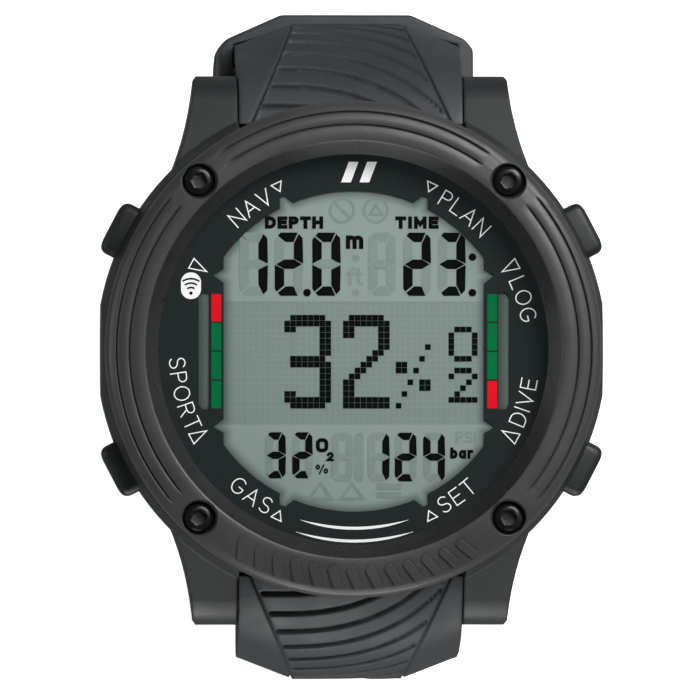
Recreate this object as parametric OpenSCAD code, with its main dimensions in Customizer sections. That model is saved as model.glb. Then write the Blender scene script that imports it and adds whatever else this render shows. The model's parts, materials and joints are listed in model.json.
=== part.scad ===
// Wrist dive computer: case, screwed bezel, display stack, circuit board, coin cell,
// four sprung push buttons and a two-part strap with buckle and keepers.
// Units are mm. The dial faces +Z, 12 o'clock is +Y, and z = 0 is the flat case back.

/* [Case] */
// Radius of the round case body
case_radius = 24.9; // [24.6:0.1:25.5]
// Width across the flats at 3 and 9 o'clock
case_width = 49; // [48.6:0.1:49.6]
// Height of the face the bezel sits on
case_height = 14.2; // [14.2:0.1:14.6]
// Distance between the inner faces of a pair of lugs
lug_gap = 22.2; // [22.2:0.1:22.6]
// Half of the lug to lug length
lug_reach = 26.9; // [26.5:0.1:27.5]

/* [Bezel and lens] */
// Outer radius of the bezel ring
bezel_radius = 24.25; // [24.2:0.05:24.4]
// Height of the bezel's top face
bezel_top = 18; // [17.8:0.1:18.4]
// Radius of the dial that shows inside the bezel
dial_radius = 19.05; // [18.8:0.05:19.1]
// Radius of the glass lens
lens_radius = 20.5; // [20.3:0.05:20.5]
// Distance of the bezel screws from the centre
screw_circle = 22.33; // [22.3:0.01:22.4]
// Angle of the first bezel screw from 3 o'clock
screw_angle = 47.4; // [46:0.2:49]

/* [Buttons] */
// Angle of each button from the 3 or 9 o'clock line
button_angle = 27.4; // [27:0.1:30]
// Distance of a button's outer face from the centre
button_reach = 26.6; // [26.3:0.1:26.7]
// Width of a button cap around the case
button_width = 5.4; // [5:0.1:5.6]
// How far a button moves in
button_travel = 0.8; // [0.5:0.1:0.8]

/* [Coin cell] */
// Diameter of the coin cell
cell_diameter = 24.5; // [24:0.1:24.5]
// Height of the coin cell
cell_height = 5; // [4.8:0.1:5]

/* [Strap] */
// Width of the strap between the lugs
strap_width = 22; // [21.6:0.1:22]
// Width of the lower strap at its tail
tail_width = 18; // [17:0.5:20]
// Thickness of the strap beyond its raised front
strap_thickness = 3.4; // [3:0.1:3.6]
// Distance of the strap's bend from the case centre
strap_bend = 32.3; // [32.1:0.1:32.5]
// Angle the upper strap curls through below its straight run
upper_curl = 62; // [55:1:64]
// Length of the flat tail of the lower strap
tail_length = 15; // [10:1:16]

/* [Hidden] */
$fn = 64;
free = 0.05;           // running fit, radial
snug = 0.02;           // assembled fit, radial
over = 0.1;            // how far a cutting solid passes the face it cuts

// heights of the stack, from the case back up
bay_top = 7.4;
cavity_floor = 8;
board_bottom = 8.7;
board_top = 9.5;
button_level = 10.3;
light_bottom = 11.3;
lcd_bottom = 12;
lcd_top = 13;
seat_height = 12.9;
lens_bottom = 13.4;
lens_top = 15.9;

// display window in the printed dial; it sits a little off the dial's centre
window_radius = 15.7;
window_half = 12.77;
window_shift = [0.17, -0.13];

cavity_radius = 19.6;
board_radius = 18;
seat_radius = lens_radius + 0.1;

// bezel screws and their inserts
screw_radius = 1;
head_radius = 1.5;
head_seat = 16.2;
insert_radius = 1.5;
insert_bottom = 9.2;
insert_top = 13.4;

// buttons, as distances from the case centre
cap_back = 24;
pocket_floor = 23.1;
bushing_inner = 19.5;
stem_radius = 1.2;
bushing_radius = 2;
seal_groove = 21.2;
clip_outer = 19.4;
clip_thickness = 0.4;
stem_end = 18.72;
button_height = 5;

// battery cover
cover_radius = 14.5;
cover_flange_top = 1.7;
spigot_radius = 13.4;
spigot_top = 3.2;
cell_radius = cell_diameter / 2;
cell_bottom = 2;

// pressure sensor, at 6 o'clock on the back
sensor_y = -17.6;
sensor_radius = 2.5;

// spring bars in the lugs
bar_u = 24.7;
bar_z = 5.4;
bar_radius = 0.9;
bar_tip_radius = 0.6;
bar_tip_length = 1.5;
barrel_radius = 2.4;

// side view of a strap half: u is the distance from the case centre, z is the height
front_radius = 14;
front_u = strap_bend - front_radius;
front_z = -3.5;
front_inner = 10;
front_top = 74;
lip_start = 61;
lip_inner = 12.5;
run_inset = 0.9;
crown_edge = 2;
crown_half = 5.8;
tail_edge = 1.4;
run_length = 10;
curl_radius = 30;
curl_u = strap_bend - run_inset - curl_radius;
curl_inner = curl_radius - strap_thickness;
lower_run = 32;

/* colours */
black = [0.16, 0.16, 0.17];
rubber = [0.12, 0.13, 0.14];
steel = [0.72, 0.73, 0.75];
brass = [0.8, 0.66, 0.35];
green = [0.1, 0.35, 0.2];
white = [0.92, 0.92, 0.9];
glass = [0.8, 0.87, 0.9, 0.35];

// ---------- placing helpers ----------

module disc(radius, from, to) {
    translate([0, 0, from])
        cylinder(r = radius, h = to - from);
}

module ring(outer, inner, from, to) {
    difference() {
        disc(outer, from, to);
        disc(inner, from - over, to + over);
    }
}

module block(width, depth, from, to) {
    translate([-width / 2, -depth / 2, from])
        cube([width, depth, to - from]);
}

// the four bezel screws
module at_screws() {
    for (angle = [screw_angle, 180 - screw_angle, 180 + screw_angle, -screw_angle])
        rotate([0, 0, angle])
            translate([screw_circle, 0, 0])
                children();
}

// a button's own axis: local z runs outward from the case centre, local y around the case
module at_button(angle) {
    rotate([0, 0, angle])
        translate([0, 0, button_level])
            rotate([0, 90, 0])
                children();
}

module at_buttons() {
    for (angle = [button_angle, 180 - button_angle, 180 + button_angle, -button_angle])
        at_button(angle)
            children();
}

// both ends of the case: +Y is 12 o'clock
module both_ends() {
    for (turn = [0, 180])
        rotate([0, 0, turn])
            children();
}

// a side view drawn as (distance from centre, height), extruded across the strap
module across(width) {
    rotate([90, 0, 90])
        linear_extrude(width, center = true)
            children();
}

// a bar across the case, by its side view position
module cross_bar(u, z, radius, length) {
    translate([0, u, z])
        rotate([0, 90, 0])
            cylinder(r = radius, h = length, center = true);
}

// local x points away from the centre of an arc in the side view, local z across the strap
module on_arc(u, z, angle) {
    translate([0, u, z])
        rotate([90, 0, 90])
            rotate([0, 0, angle])
                children();
}

module arc(u, z, from, to) {
    on_arc(u, z, from)
        rotate_extrude(angle = to - from)
            children();
}

module rounded_plate(width, depth, corner) {
    square([width - 2 * corner, depth], center = true);
    square([width, depth - 2 * corner], center = true);
    for (side = [-1, 1], end = [-1, 1])
        translate([side * (width / 2 - corner), end * (depth / 2 - corner)])
            circle(corner);
}

// ---------- case ----------

// where a line from point p touches the top of a circle at c
function touch(p, c, r) =
    let (
        d = norm(c - p),
        turn = atan2(c[1] - p[1], c[0] - p[0]) + asin(r / d),
        reach = sqrt(d * d - r * r)
    )
    p + reach * [cos(turn), sin(turn)];

module lug_side() {
    tip_radius = 3.7;
    tip = [lug_reach - tip_radius, 5.2];
    shoulder = [14, case_height - 1];
    translate(tip)
        circle(tip_radius);
    polygon([
        [12, 0.8], [tip[0], tip[1] - tip_radius], tip,
        touch(shoulder, tip, tip_radius), shoulder, [12, case_height - 1]
    ]);
}

module lug_plan() {
    flare = 30;
    difference() {
        polygon([
            [lug_gap / 2, 12], [18.6, 12], [18.6, 20],
            [lug_gap / 2 + 4.4, lug_reach - 0.6], [lug_gap / 2 + 4, lug_reach], [lug_gap / 2, lug_reach]
        ]);
        translate([45.3, 28.76])
            circle(flare, $fn = 128);
    }
}

module lug() {
    intersection() {
        linear_extrude(case_height)
            lug_plan();
        across(2 * case_radius)
            lug_side();
    }
}

module case_shell() {
    intersection() {
        rotate_extrude($fn = 128)
            polygon([
                [0, 0], [21, 0], [22.8, 1.2], [24.2, 4.2], [case_radius, 7],
                [case_radius, case_height - 1.6], [case_radius - 0.6, case_height], [0, case_height]
            ]);
        block(case_width, 3 * case_radius, -over, case_height + over);
    }
}

// room between two lugs for the strap's barrel, and for the lip above it as the strap swings
module strap_slot() {
    back = bar_u - barrel_radius - 0.3;
    // the strap's lip reaches into a recess under the bezel
    recess_back = 20.45;
    recess_low = 6.9;
    recess_high = 9;
    slope_end = bezel_radius - 2.35;
    slope_high = 10.6;
    slot_high = 10.9;
    slot_end = bar_u + 6;
    across(lug_gap)
        polygon([
            [back, -1], [back, bar_z],
            [recess_back, recess_low], [recess_back, recess_high],
            [slope_end, slope_high], [bar_u, slot_high],
            [slot_end, slot_high], [slot_end, -1]
        ]);
    // the rim stops under the bezel here
    difference() {
        translate([0, bar_u, 0])
            block(lug_gap, 8, -1, case_height + over);
        disc(bezel_radius - 0.15, -2, case_height + 1);
    }
}

module case_cavities() {
    disc(cavity_radius, cavity_floor, case_height + over);
    disc(seat_radius, seat_height, case_height + over);
    disc(cover_radius + 0.1, -over, cover_flange_top + free);
    disc(spigot_radius + 0.1, -over, spigot_top + 0.1);
    disc(cell_radius + 0.25, -over, bay_top);
    // contact openings in the ceiling and side of the cell bay
    disc(0.5, bay_top - over, cavity_floor + over);
    translate([12.5, 0, 0])
        block(1.4, 3, 4, cavity_floor + over);
    // pressure port
    translate([0, sensor_y, 0])
        disc(sensor_radius + free, -over, cavity_floor + over);
    at_screws()
        disc(insert_radius + snug, insert_bottom - 0.2, case_height + over);
    at_buttons() {
        translate([0, 0, pocket_floor])
            linear_extrude(6)
                rounded_plate(button_height + 0.3, button_width + 0.3, 0.9);
        translate([0, 0, cavity_radius - 1])
            cylinder(r = bushing_radius + snug, h = 6);
    }
    at_board_screws()
        disc(0.62, 5.4, board_bottom + over);
}

module case_body() {
    color(black)
        union() {
            difference() {
                union() {
                    difference() {
                        case_shell();
                        both_ends()
                            strap_slot();
                    }
                    both_ends()
                        for (side = [0, 1])
                            mirror([side, 0, 0])
                                lug();
                }
                case_cavities();
                both_ends()
                    cross_bar(bar_u, bar_z, bar_tip_radius + snug, lug_gap + 2 * bar_tip_length + 0.2);
            }
            at_board_screws()
                ring(1.4, 0.62, cavity_floor - over, board_bottom);
        }
}

module at_board_screws() {
    for (angle = [60, 180, 300])
        rotate([0, 0, angle])
            translate([15.8, 0, 0])
                children();
}

// ---------- bezel ----------

module bezel_profile() {
    polygon([
        [dial_radius, lens_top + free], [dial_radius, lens_top + 0.4], [20.4, bezel_top],
        [22.6, bezel_top - 0.15], [23.6, bezel_top - 0.6], [bezel_radius, bezel_top - 1.5],
        [bezel_radius, case_height + 0.3], [bezel_radius - 0.3, case_height],
        [seat_radius + 0.05, case_height], [seat_radius + 0.05, lens_top + free]
    ]);
}

// shallow decorative groove, an arc around the bezel
module bezel_groove(radius, middle, half_span) {
    depth = 0.35;
    rotate([0, 0, middle - half_span])
        rotate_extrude(angle = 2 * half_span, $fn = 128)
            translate([radius, bezel_top - 0.55])
                square([0.3, depth + 1]);
}

module bezel() {
    color(black)
        difference() {
            rotate_extrude($fn = 128)
                bezel_profile();
            for (radius = [21.75, 23.05]) {
                bezel_groove(radius, 90, 34.5);
                bezel_groove(radius, 0, 39.5);
                bezel_groove(radius, 180, 39.5);
            }
            at_screws() {
                disc(screw_radius + 0.08, case_height - over, bezel_top);
                disc(head_radius + 0.15, head_seat, bezel_top + 1);
            }
        }
}

module bezel_screws() {
    head_height = 1.15;
    socket = 0.8;
    color(steel)
        at_screws()
            difference() {
                union() {
                    disc(screw_radius - snug, insert_bottom + 0.2, head_seat);
                    translate([0, 0, head_seat])
                        rotate_extrude()
                            polygon([
                                [0, 0], [head_radius, 0],
                                [head_radius, head_height * 0.5],
                                [head_radius * 0.8, head_height * 0.9],
                                [head_radius * 0.5, head_height], [0, head_height]
                            ]);
                }
                translate([0, 0, head_seat + 0.35])
                    cylinder(r = socket, h = 2, $fn = 6);
            }
}

module screw_inserts() {
    color(brass)
        at_screws()
            ring(insert_radius, screw_radius + free, insert_bottom, insert_top);
}

// ---------- lens and display ----------

module lens() {
    color(glass)
        rotate_extrude($fn = 128)
            polygon([
                [0, lens_bottom], [lens_radius, lens_bottom], [lens_radius, lens_top - 0.3],
                [lens_radius - 0.3, lens_top], [0, lens_top]
            ]);
}

module lens_gasket() {
    color(rubber)
        ring(seat_radius - free, cavity_radius + 0.15, seat_height, lens_bottom);
}

// outline of the display that shows through the printed dial: a clipped circle with eight small notches
module window_plan() {
    translate(window_shift) {
        intersection() {
            circle(window_radius);
            square([2 * window_half, 40], center = true);
        }
        for (mx = [0, 1], my = [0, 1])
            mirror([mx, 0])
                mirror([0, my]) {
                    side_notch();
                    top_notch();
                }
        for (side = [0, 1])
            mirror([side, 0])
                level_slot();
    }
}

// pointed notch in the display's straight side
module side_notch() {
    middle = 7.4;
    rise = 0.6;
    fall = 0.75;
    depth = 1;
    polygon([
        [window_half - depth, middle + rise], [window_half, middle + rise],
        [window_half + depth, middle],
        [window_half, middle - fall], [window_half - depth, middle - fall]
    ]);
}

// stepped notch in the display's curved edge
module top_notch() {
    right = 7.28;
    left = right - 1.4;
    peak = right - 0.55;
    base = 13.5;
    polygon([[left, base], [right, base], [right, base + 1.5], [peak, base + 1.7], [left, base + 1.05]]);
}

// slot beside the display, behind the printed level bars
module level_slot() {
    inner = 14.1;
    outer = 15.2;
    half = 5.7;
    cut_wide = 0.35;
    cut_tall = 0.5;
    polygon([
        [inner, -half], [outer - cut_wide, -half], [outer, cut_tall - half],
        [outer, half - cut_tall], [outer - cut_wide, half], [inner, half]
    ]);
}

module dial_mask() {
    color(black)
        translate([0, 0, lcd_top + 0.1])
            linear_extrude(0.2)
                difference() {
                    circle(cavity_radius - 0.3, $fn = 128);
                    window_plan();
                }
}

module lcd_outline(grow) {
    intersection() {
        circle(17.9 + grow);
        square([32.4 + 2 * grow, 33 + 2 * grow], center = true);
    }
}

module lcd_panel() {
    color([0.56, 0.64, 0.61])
        translate([0, 0, lcd_bottom])
            linear_extrude(lcd_top - lcd_bottom)
                lcd_outline(0);
}

module lcd_holder() {
    flange_bottom = 12.45;
    color(white)
        difference() {
            union() {
                disc(cavity_radius - 0.3, flange_bottom, lcd_top);
                for (turn = [0, 90, 180, 270])
                    rotate([0, 0, turn])
                        translate([18.68, 0, 0])
                            block(1, 5, cavity_floor + free, flange_bottom + over);
            }
            translate([0, 0, lcd_bottom - 1])
                linear_extrude(3)
                    lcd_outline(0.1);
        }
}

module backlight() {
    color(white)
        block(27, 26, light_bottom, lcd_bottom - free);
}

module lcd_connectors() {
    color([0.85, 0.5, 0.6])
        for (end = [-1, 1])
            translate([0, end * 14.6, 0])
                block(12, 1.6, board_top + snug, lcd_bottom - snug);
}

// ---------- circuit board ----------

module circuit_board() {
    color(green)
        difference() {
            disc(board_radius, board_bottom + snug, board_top);
            at_board_screws()
                disc(0.75, board_bottom - over, board_top + over);
            // room for the positive contact's foot
            translate([12.5, 0, 0])
                block(1.2, 2.8, board_bottom - over, board_top + over);
        }
}

module board_screws() {
    color(steel)
        at_board_screws() {
            disc(0.6, 5.6, board_top + snug);
            difference() {
                disc(1.2, board_top + snug, board_top + 0.8);
                block(2.6, 0.35, board_top + 0.45, board_top + 1);
            }
        }
}

module chip(x, y, width, depth, height) {
    translate([x, y, 0])
        block(width, depth, board_top + snug, board_top + height);
}

module board_chips() {
    color(black) {
        chip(0, 1, 7, 7, 1);
        chip(8, 6, 4, 4, 0.9);
        chip(-8, 6.4, 3, 5, 0.9);
        chip(7, -3.2, 3, 3, 0.8);
        chip(2, -8.5, 2.4, 1.6, 0.7);
    }
}

module compass_sensor() {
    color([0.25, 0.25, 0.28])
        chip(-7, 0.5, 2.2, 2.2, 1);
}

module clock_crystal() {
    color(steel)
        translate([2, -6, board_top + 0.75])
            rotate([0, 90, 0])
                cylinder(r = 0.7, h = 5);
}

module antenna_core() {
    color([0.3, 0.27, 0.26])
        translate([0, 9.8, board_top + 0.85])
            rotate([0, 90, 0])
                cylinder(r = 0.55, h = 14, center = true);
}

module antenna_winding() {
    color(brass)
        translate([0, 9.8, board_top + 0.85])
            rotate([0, 90, 0])
                ring(0.8, 0.55 + snug, -4.5, 4.5);
}

module buzzer() {
    color(brass)
        translate([-6.5, -7.5, 0]) {
            disc(3.8, board_top + snug, board_top + 0.5);
            disc(2.6, board_top + 0.4, board_top + 0.8);
        }
}

module button_switches() {
    tip = stem_end - button_travel - free;
    color(steel)
        at_buttons() {
            translate([0, 0, 15])
                block(1.5, 3.6, -1.2, 1.2);
            translate([0, 0, 16.1])
                cylinder(r = 0.55, h = tip - 16.1);
        }
}

// ---------- coin cell ----------

module battery() {
    color(steel) {
        disc(cell_radius, cell_bottom, cell_bottom + cell_height - 0.5);
        disc(cell_radius - 1.3, cell_bottom + cell_height - 0.6, cell_bottom + cell_height);
    }
}

module battery_contact_negative() {
    pin_radius = 0.4;
    color(brass)
        union() {
            disc(2.6, cell_bottom + cell_height + 0.03, bay_top - 0.15);
            disc(pin_radius, bay_top - 0.3, board_bottom);
        }
}

module battery_contact_positive() {
    color(brass)
        translate([12.7, 0, 0])
            block(0.5, 2.4, 4.2, board_bottom + 0.6);
}

module battery_cover() {
    color(black)
        difference() {
            union() {
                disc(cover_radius, 0, cover_flange_top);
                ring(spigot_radius, cell_radius + 0.15, cover_flange_top - over, spigot_top);
            }
            ring(spigot_radius + 1, spigot_radius - 0.6, 2.1, 2.9);
            // blind holes for a two-pin key
            for (side = [-1, 1])
                translate([side * 9.5, 0, 0])
                    disc(1.1, -over, 0.9);
        }
}

module battery_cover_seal() {
    color(rubber)
        rotate_extrude()
            translate([spigot_radius - 0.25, 2.5])
                circle(0.33);
}

// ---------- pressure sensor ----------

module pressure_sensor() {
    color(steel)
        translate([0, sensor_y, 0]) {
            disc(sensor_radius - 0.3, 1.4, 6.6);
            disc(sensor_radius - 1.4, 6.5, cavity_floor);
        }
}

module sensor_seal() {
    color(rubber)
        translate([0, sensor_y, 0])
            ring(sensor_radius + 0.02, sensor_radius - 0.28, 3, 3.8);
}

module sensor_cover() {
    color(steel)
        translate([0, sensor_y, 0])
            difference() {
                disc(sensor_radius, 0.2, 0.9);
                for (turn = [0:60:300])
                    rotate([0, 0, turn])
                        translate([1.3, 0, 0])
                            disc(0.3, 0, 1);
                disc(0.3, 0, 1);
            }
}

// ---------- push buttons ----------

top_right = button_angle;
top_left = 180 - button_angle;
bottom_left = 180 + button_angle;
bottom_right = -button_angle;

spring_bottom = pocket_floor + 0.03;
spring_length = 2.2;

module button_cap(angle) {
    groove_width = 0.6;
    color(rubber)
        at_button(angle)
            difference() {
                union() {
                    translate([0, 0, cap_back])
                        linear_extrude(button_reach - cap_back - 0.5)
                            rounded_plate(button_height, button_width, 0.8);
                    translate([0, 0, button_reach - 0.6])
                        linear_extrude(0.6)
                            rounded_plate(button_height - 0.7, button_width - 0.7, 0.6);
                    disc(stem_radius, clip_outer, cap_back + 1.6);
                    disc(0.7, stem_end, clip_outer + over);
                }
                // pocket for the spring
                ring(2.05, stem_radius, cap_back - over, spring_bottom + spring_length + 0.04);
                // groove for the o-ring
                ring(stem_radius + 1, 0.75, seal_groove - groove_width / 2, seal_groove + groove_width / 2);
            }
}

module button_seal(angle) {
    color([0.3, 0.1, 0.08])
        at_button(angle)
            rotate_extrude()
                translate([0.99, seal_groove])
                    circle(0.23);
}

// open ring that snaps on the inner end of the stem
module button_clip(angle) {
    color(steel)
        at_button(angle)
            difference() {
                ring(1.8, 0.7 + snug, clip_outer - clip_thickness, clip_outer - snug);
                translate([0, 2, 0])
                    block(1.1, 4, clip_outer - 1, clip_outer + 1);
            }
}

// flat wire coil around the stem
module button_spring(angle) {
    turns = 3;
    inner = 1.45;
    outer = 1.85;
    steps = 6;
    color(steel)
        at_button(angle)
            translate([0, 0, spring_bottom])
                linear_extrude(spring_length, twist = -360 * turns, slices = 14 * turns, $fn = 8)
                    polygon([
                        for (i = [0:steps]) outer * [cos(180 * i / steps), sin(180 * i / steps)],
                        for (i = [steps:-1:0]) inner * [cos(180 * i / steps), sin(180 * i / steps)]
                    ]);
}

module button_bushings() {
    color(steel)
        at_buttons()
            ring(bushing_radius, stem_radius + free, bushing_inner, pocket_floor);
}

module button_top_left() { button_cap(top_left); }
module button_top_right() { button_cap(top_right); }
module button_bottom_left() { button_cap(bottom_left); }
module button_bottom_right() { button_cap(bottom_right); }
module seal_top_left() { button_seal(top_left); }
module seal_top_right() { button_seal(top_right); }
module seal_bottom_left() { button_seal(bottom_left); }
module seal_bottom_right() { button_seal(bottom_right); }
module clip_top_left() { button_clip(top_left); }
module clip_top_right() { button_clip(top_right); }
module clip_bottom_left() { button_clip(bottom_left); }
module clip_bottom_right() { button_clip(bottom_right); }
module spring_top_left() { button_spring(top_left); }
module spring_top_right() { button_spring(top_right); }
module spring_bottom_left() { button_spring(bottom_left); }
module spring_bottom_right() { button_spring(bottom_right); }

// ---------- strap ----------

half_width = strap_width / 2;
upper_curl_z = front_z - run_length;
lower_curl_z = front_z - lower_run;

// raised front of the strap, drawn as (distance from the arc centre, across)
module front_section() {
    polygon([
        [front_inner, -half_width], [front_radius - crown_edge, -half_width], [front_radius, -crown_half],
        [front_radius, crown_half], [front_radius - crown_edge, half_width], [front_inner, half_width]
    ]);
}

// plain strap, crowned like the front but thinner
module strap_section() {
    polygon([
        [curl_inner, -half_width], [curl_radius - tail_edge, -half_width], [curl_radius, -crown_half],
        [curl_radius, crown_half], [curl_radius - tail_edge, half_width], [curl_inner, half_width]
    ]);
}

// straight strap that leaves an arc at the given angle, away from the case
module straight_on(z, angle, length) {
    on_arc(curl_u, z, angle)
        rotate([90, 0, 0])
            linear_extrude(length)
                strap_section();
}

module strap_front() {
    // a side view point at an angle and distance from the arc's centre
    function at(angle, radius) = [front_u + radius * cos(angle), front_z + radius * sin(angle)];
    difference() {
        arc(front_u, front_z, 0, front_top)
            front_section();
        // leaves a thin lip beyond the barrel
        across(strap_width + 2)
            polygon([
                at(lip_start, front_inner - 1), at(lip_start, lip_inner),
                at(front_top + 2, lip_inner), at(front_top + 2, front_inner - 1)
            ]);
    }
    cross_bar(bar_u, bar_z, barrel_radius, strap_width);
}

module strap_bar_hole() {
    cross_bar(bar_u, bar_z, bar_radius + free, strap_width + 2);
}

buckle_angle = -upper_curl - 5;
buckle_r = curl_inner + strap_thickness / 2;
buckle_pin_radius = 0.8;
arm_inner = strap_width / 2 + 0.3;
arm_outer = arm_inner + 1.4;
buckle_bar = 10.5;
buckle_end = 13;

module at_buckle() {
    on_arc(curl_u, upper_curl_z, buckle_angle)
        translate([buckle_r, 0, 0])
            children();
}

module strap_upper() {
    tongue_slot = 3.8;
    color(rubber)
        difference() {
            union() {
                strap_front();
                straight_on(front_z, 0, run_length);
                arc(curl_u, upper_curl_z, 0, buckle_angle)
                    strap_section();
                at_buckle()
                    disc(1.9, -half_width, half_width);
            }
            strap_bar_hole();
            at_buckle() {
                disc(buckle_pin_radius + free, -half_width - 1, half_width + 1);
                translate([-4, -3, -tongue_slot / 2])
                    cube([8, 7, tongue_slot]);
            }
        }
}

// the lower strap narrows evenly from the height of the case back to its tail
module tail_taper() {
    drop = 66;
    slope = (strap_width - tail_width) / 2 / drop;
    top_half = half_width + slope * case_height;
    bottom_half = half_width - slope * (drop + 4);
    rotate([90, 0, 0])
        linear_extrude(3 * strap_bend, center = true)
            polygon([
                [-bottom_half, -drop - 4], [bottom_half, -drop - 4],
                [top_half, case_height], [-top_half, case_height]
            ]);
}

module strap_hole() {
    translate([curl_inner - 1, 0, 0])
        rotate([0, 90, 0])
            cylinder(r = 1.4, h = strap_thickness + 2);
}

module strap_lower() {
    hole_step = 9.5;
    tip_radius = 13;
    color(rubber)
        rotate([0, 0, 180])
            difference() {
                intersection() {
                    union() {
                        strap_front();
                        straight_on(front_z, 0, lower_run);
                        arc(curl_u, lower_curl_z, -90, 0)
                            strap_section();
                        straight_on(lower_curl_z, -90, tail_length);
                        intersection() {
                            straight_on(lower_curl_z, -90, tail_length + 7);
                            on_arc(curl_u, lower_curl_z, -90)
                                translate([curl_inner - 1, 6 - tail_length, 0])
                                    rotate([0, 90, 0])
                                        cylinder(r = tip_radius, h = strap_thickness + 2);
                        }
                    }
                    tail_taper();
                }
                strap_bar_hole();
                for (i = [0:7])
                    on_arc(curl_u, lower_curl_z, -20 - i * hole_step)
                        strap_hole();
                for (i = [1:2])
                    on_arc(curl_u, lower_curl_z, -90)
                        translate([0, -4.7 * i, 0])
                            strap_hole();
            }
}

module spring_bars() {
    color(steel)
        both_ends() {
            cross_bar(bar_u, bar_z, bar_radius, strap_width - 0.2);
            cross_bar(bar_u, bar_z, bar_tip_radius, lug_gap + 2 * bar_tip_length);
        }
}

// ---------- keepers ----------

keeper_wall = 1.5;
tail_room = 3.2;

// loop around the strap, with room on the inside for the other half's tail
module keeper_section() {
    inner = curl_inner - tail_room;
    outer = curl_radius + 0.3;
    wide = half_width + 0.1;
    lip = outer + keeper_wall;
    side = wide + keeper_wall;
    corner = 0.8;
    difference() {
        polygon([
            [inner - keeper_wall + corner, -side], [lip - 3.4, -side], [lip - 2.4, corner - side],
            [lip, -crown_half - 0.6], [lip, crown_half + 0.6], [lip - 2.4, side - corner],
            [lip - 3.4, side], [inner - keeper_wall + corner, side],
            [inner - keeper_wall, side - corner], [inner - keeper_wall, corner - side]
        ]);
        polygon([
            [inner, -wide], [outer - tail_edge, -wide], [outer, -crown_half],
            [outer, crown_half], [outer - tail_edge, wide], [inner, wide]
        ]);
    }
}

module keeper_fixed() {
    keeper_length = 7;
    color(rubber)
        on_arc(curl_u, front_z - 1.6, 0)
            rotate([90, 0, 0])
                linear_extrude(keeper_length)
                    keeper_section();
}

module keeper_sliding() {
    color(rubber)
        arc(curl_u, upper_curl_z, -18, -5)
            keeper_section();
}

// ---------- buckle ----------

module buckle_frame() {
    thick = 1.1;
    color(steel)
        at_buckle()
            difference() {
                union() {
                    for (side = [0, 1])
                        mirror([0, 0, side]) {
                            disc(1.9, arm_inner, arm_outer);
                            translate([-thick, -buckle_end, arm_inner])
                                cube([2 * thick, buckle_end, arm_outer - arm_inner]);
                        }
                    translate([-thick, -buckle_end, -arm_outer])
                        cube([2 * thick, buckle_end - buckle_bar, 2 * arm_outer]);
                }
                disc(buckle_pin_radius + snug, -arm_outer - 1, arm_outer + 1);
            }
}

module buckle_tongue() {
    blade = 1.1;
    color(steel)
        at_buckle()
            difference() {
                union() {
                    disc(1.7, -1.6, 1.6);
                    translate([1.15, 0.4 - buckle_end, -blade])
                        cube([1, buckle_end - 0.4, 2 * blade]);
                    translate([0, -1.7, -blade])
                        cube([1.7, 1.7, 2 * blade]);
                }
                disc(buckle_pin_radius + free, -3, 3);
            }
}

module buckle_pin() {
    color(steel)
        at_buckle()
            disc(buckle_pin_radius, -arm_outer + 0.1, arm_outer - 0.1);
}

// ---------- nodes ----------

case_body();
bezel();
bezel_screws();
screw_inserts();
lens();
lens_gasket();
dial_mask();
lcd_panel();
lcd_holder();
backlight();
lcd_connectors();
circuit_board();
board_screws();
board_chips();
compass_sensor();
clock_crystal();
antenna_core();
antenna_winding();
buzzer();
button_switches();
battery();
battery_contact_negative();
battery_contact_positive();
battery_cover();
battery_cover_seal();
pressure_sensor();
sensor_seal();
sensor_cover();
button_top_left();
button_top_right();
button_bottom_left();
button_bottom_right();
seal_top_left();
seal_top_right();
seal_bottom_left();
seal_bottom_right();
clip_top_left();
clip_top_right();
clip_bottom_left();
clip_bottom_right();
spring_top_left();
spring_top_right();
spring_bottom_left();
spring_bottom_right();
button_bushings();
strap_upper();
strap_lower();
spring_bars();
keeper_fixed();
keeper_sliding();
buckle_frame();
buckle_tongue();
buckle_pin();
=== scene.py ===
"""Looks of the wrist dive computer: dial, display, bezel, buttons, strap and studio."""
import json
import math

import bmesh
import bpy
from mathutils import Matrix, Vector, kdtree


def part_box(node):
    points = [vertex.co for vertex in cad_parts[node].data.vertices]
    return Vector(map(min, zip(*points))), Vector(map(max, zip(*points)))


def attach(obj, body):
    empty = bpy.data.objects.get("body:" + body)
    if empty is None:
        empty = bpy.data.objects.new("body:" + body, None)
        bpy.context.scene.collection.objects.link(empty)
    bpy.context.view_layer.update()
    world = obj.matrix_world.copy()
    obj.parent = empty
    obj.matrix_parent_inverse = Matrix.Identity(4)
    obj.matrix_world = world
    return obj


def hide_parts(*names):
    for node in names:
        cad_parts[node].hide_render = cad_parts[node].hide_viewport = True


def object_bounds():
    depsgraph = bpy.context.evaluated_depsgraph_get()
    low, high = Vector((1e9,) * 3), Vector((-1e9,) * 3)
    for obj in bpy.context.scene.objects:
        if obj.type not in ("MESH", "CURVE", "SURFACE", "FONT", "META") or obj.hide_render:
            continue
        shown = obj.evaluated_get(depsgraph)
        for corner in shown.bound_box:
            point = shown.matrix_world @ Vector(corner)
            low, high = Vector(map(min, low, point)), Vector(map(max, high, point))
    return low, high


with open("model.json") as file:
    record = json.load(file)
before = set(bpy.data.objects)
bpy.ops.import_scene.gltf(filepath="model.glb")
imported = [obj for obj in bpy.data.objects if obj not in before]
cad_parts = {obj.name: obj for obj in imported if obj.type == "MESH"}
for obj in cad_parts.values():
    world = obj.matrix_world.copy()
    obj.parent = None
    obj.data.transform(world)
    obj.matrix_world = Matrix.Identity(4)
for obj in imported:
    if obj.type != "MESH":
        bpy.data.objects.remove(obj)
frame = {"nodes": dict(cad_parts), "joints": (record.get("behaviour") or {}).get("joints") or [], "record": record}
cad_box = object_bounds()
bpy.context.scene.view_settings.view_transform = "Standard"

MM = 0.001
record = frame["record"]


def top_of(node):
    """Highest point of a CAD node, in mm."""
    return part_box(node)[1][2] / MM


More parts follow.
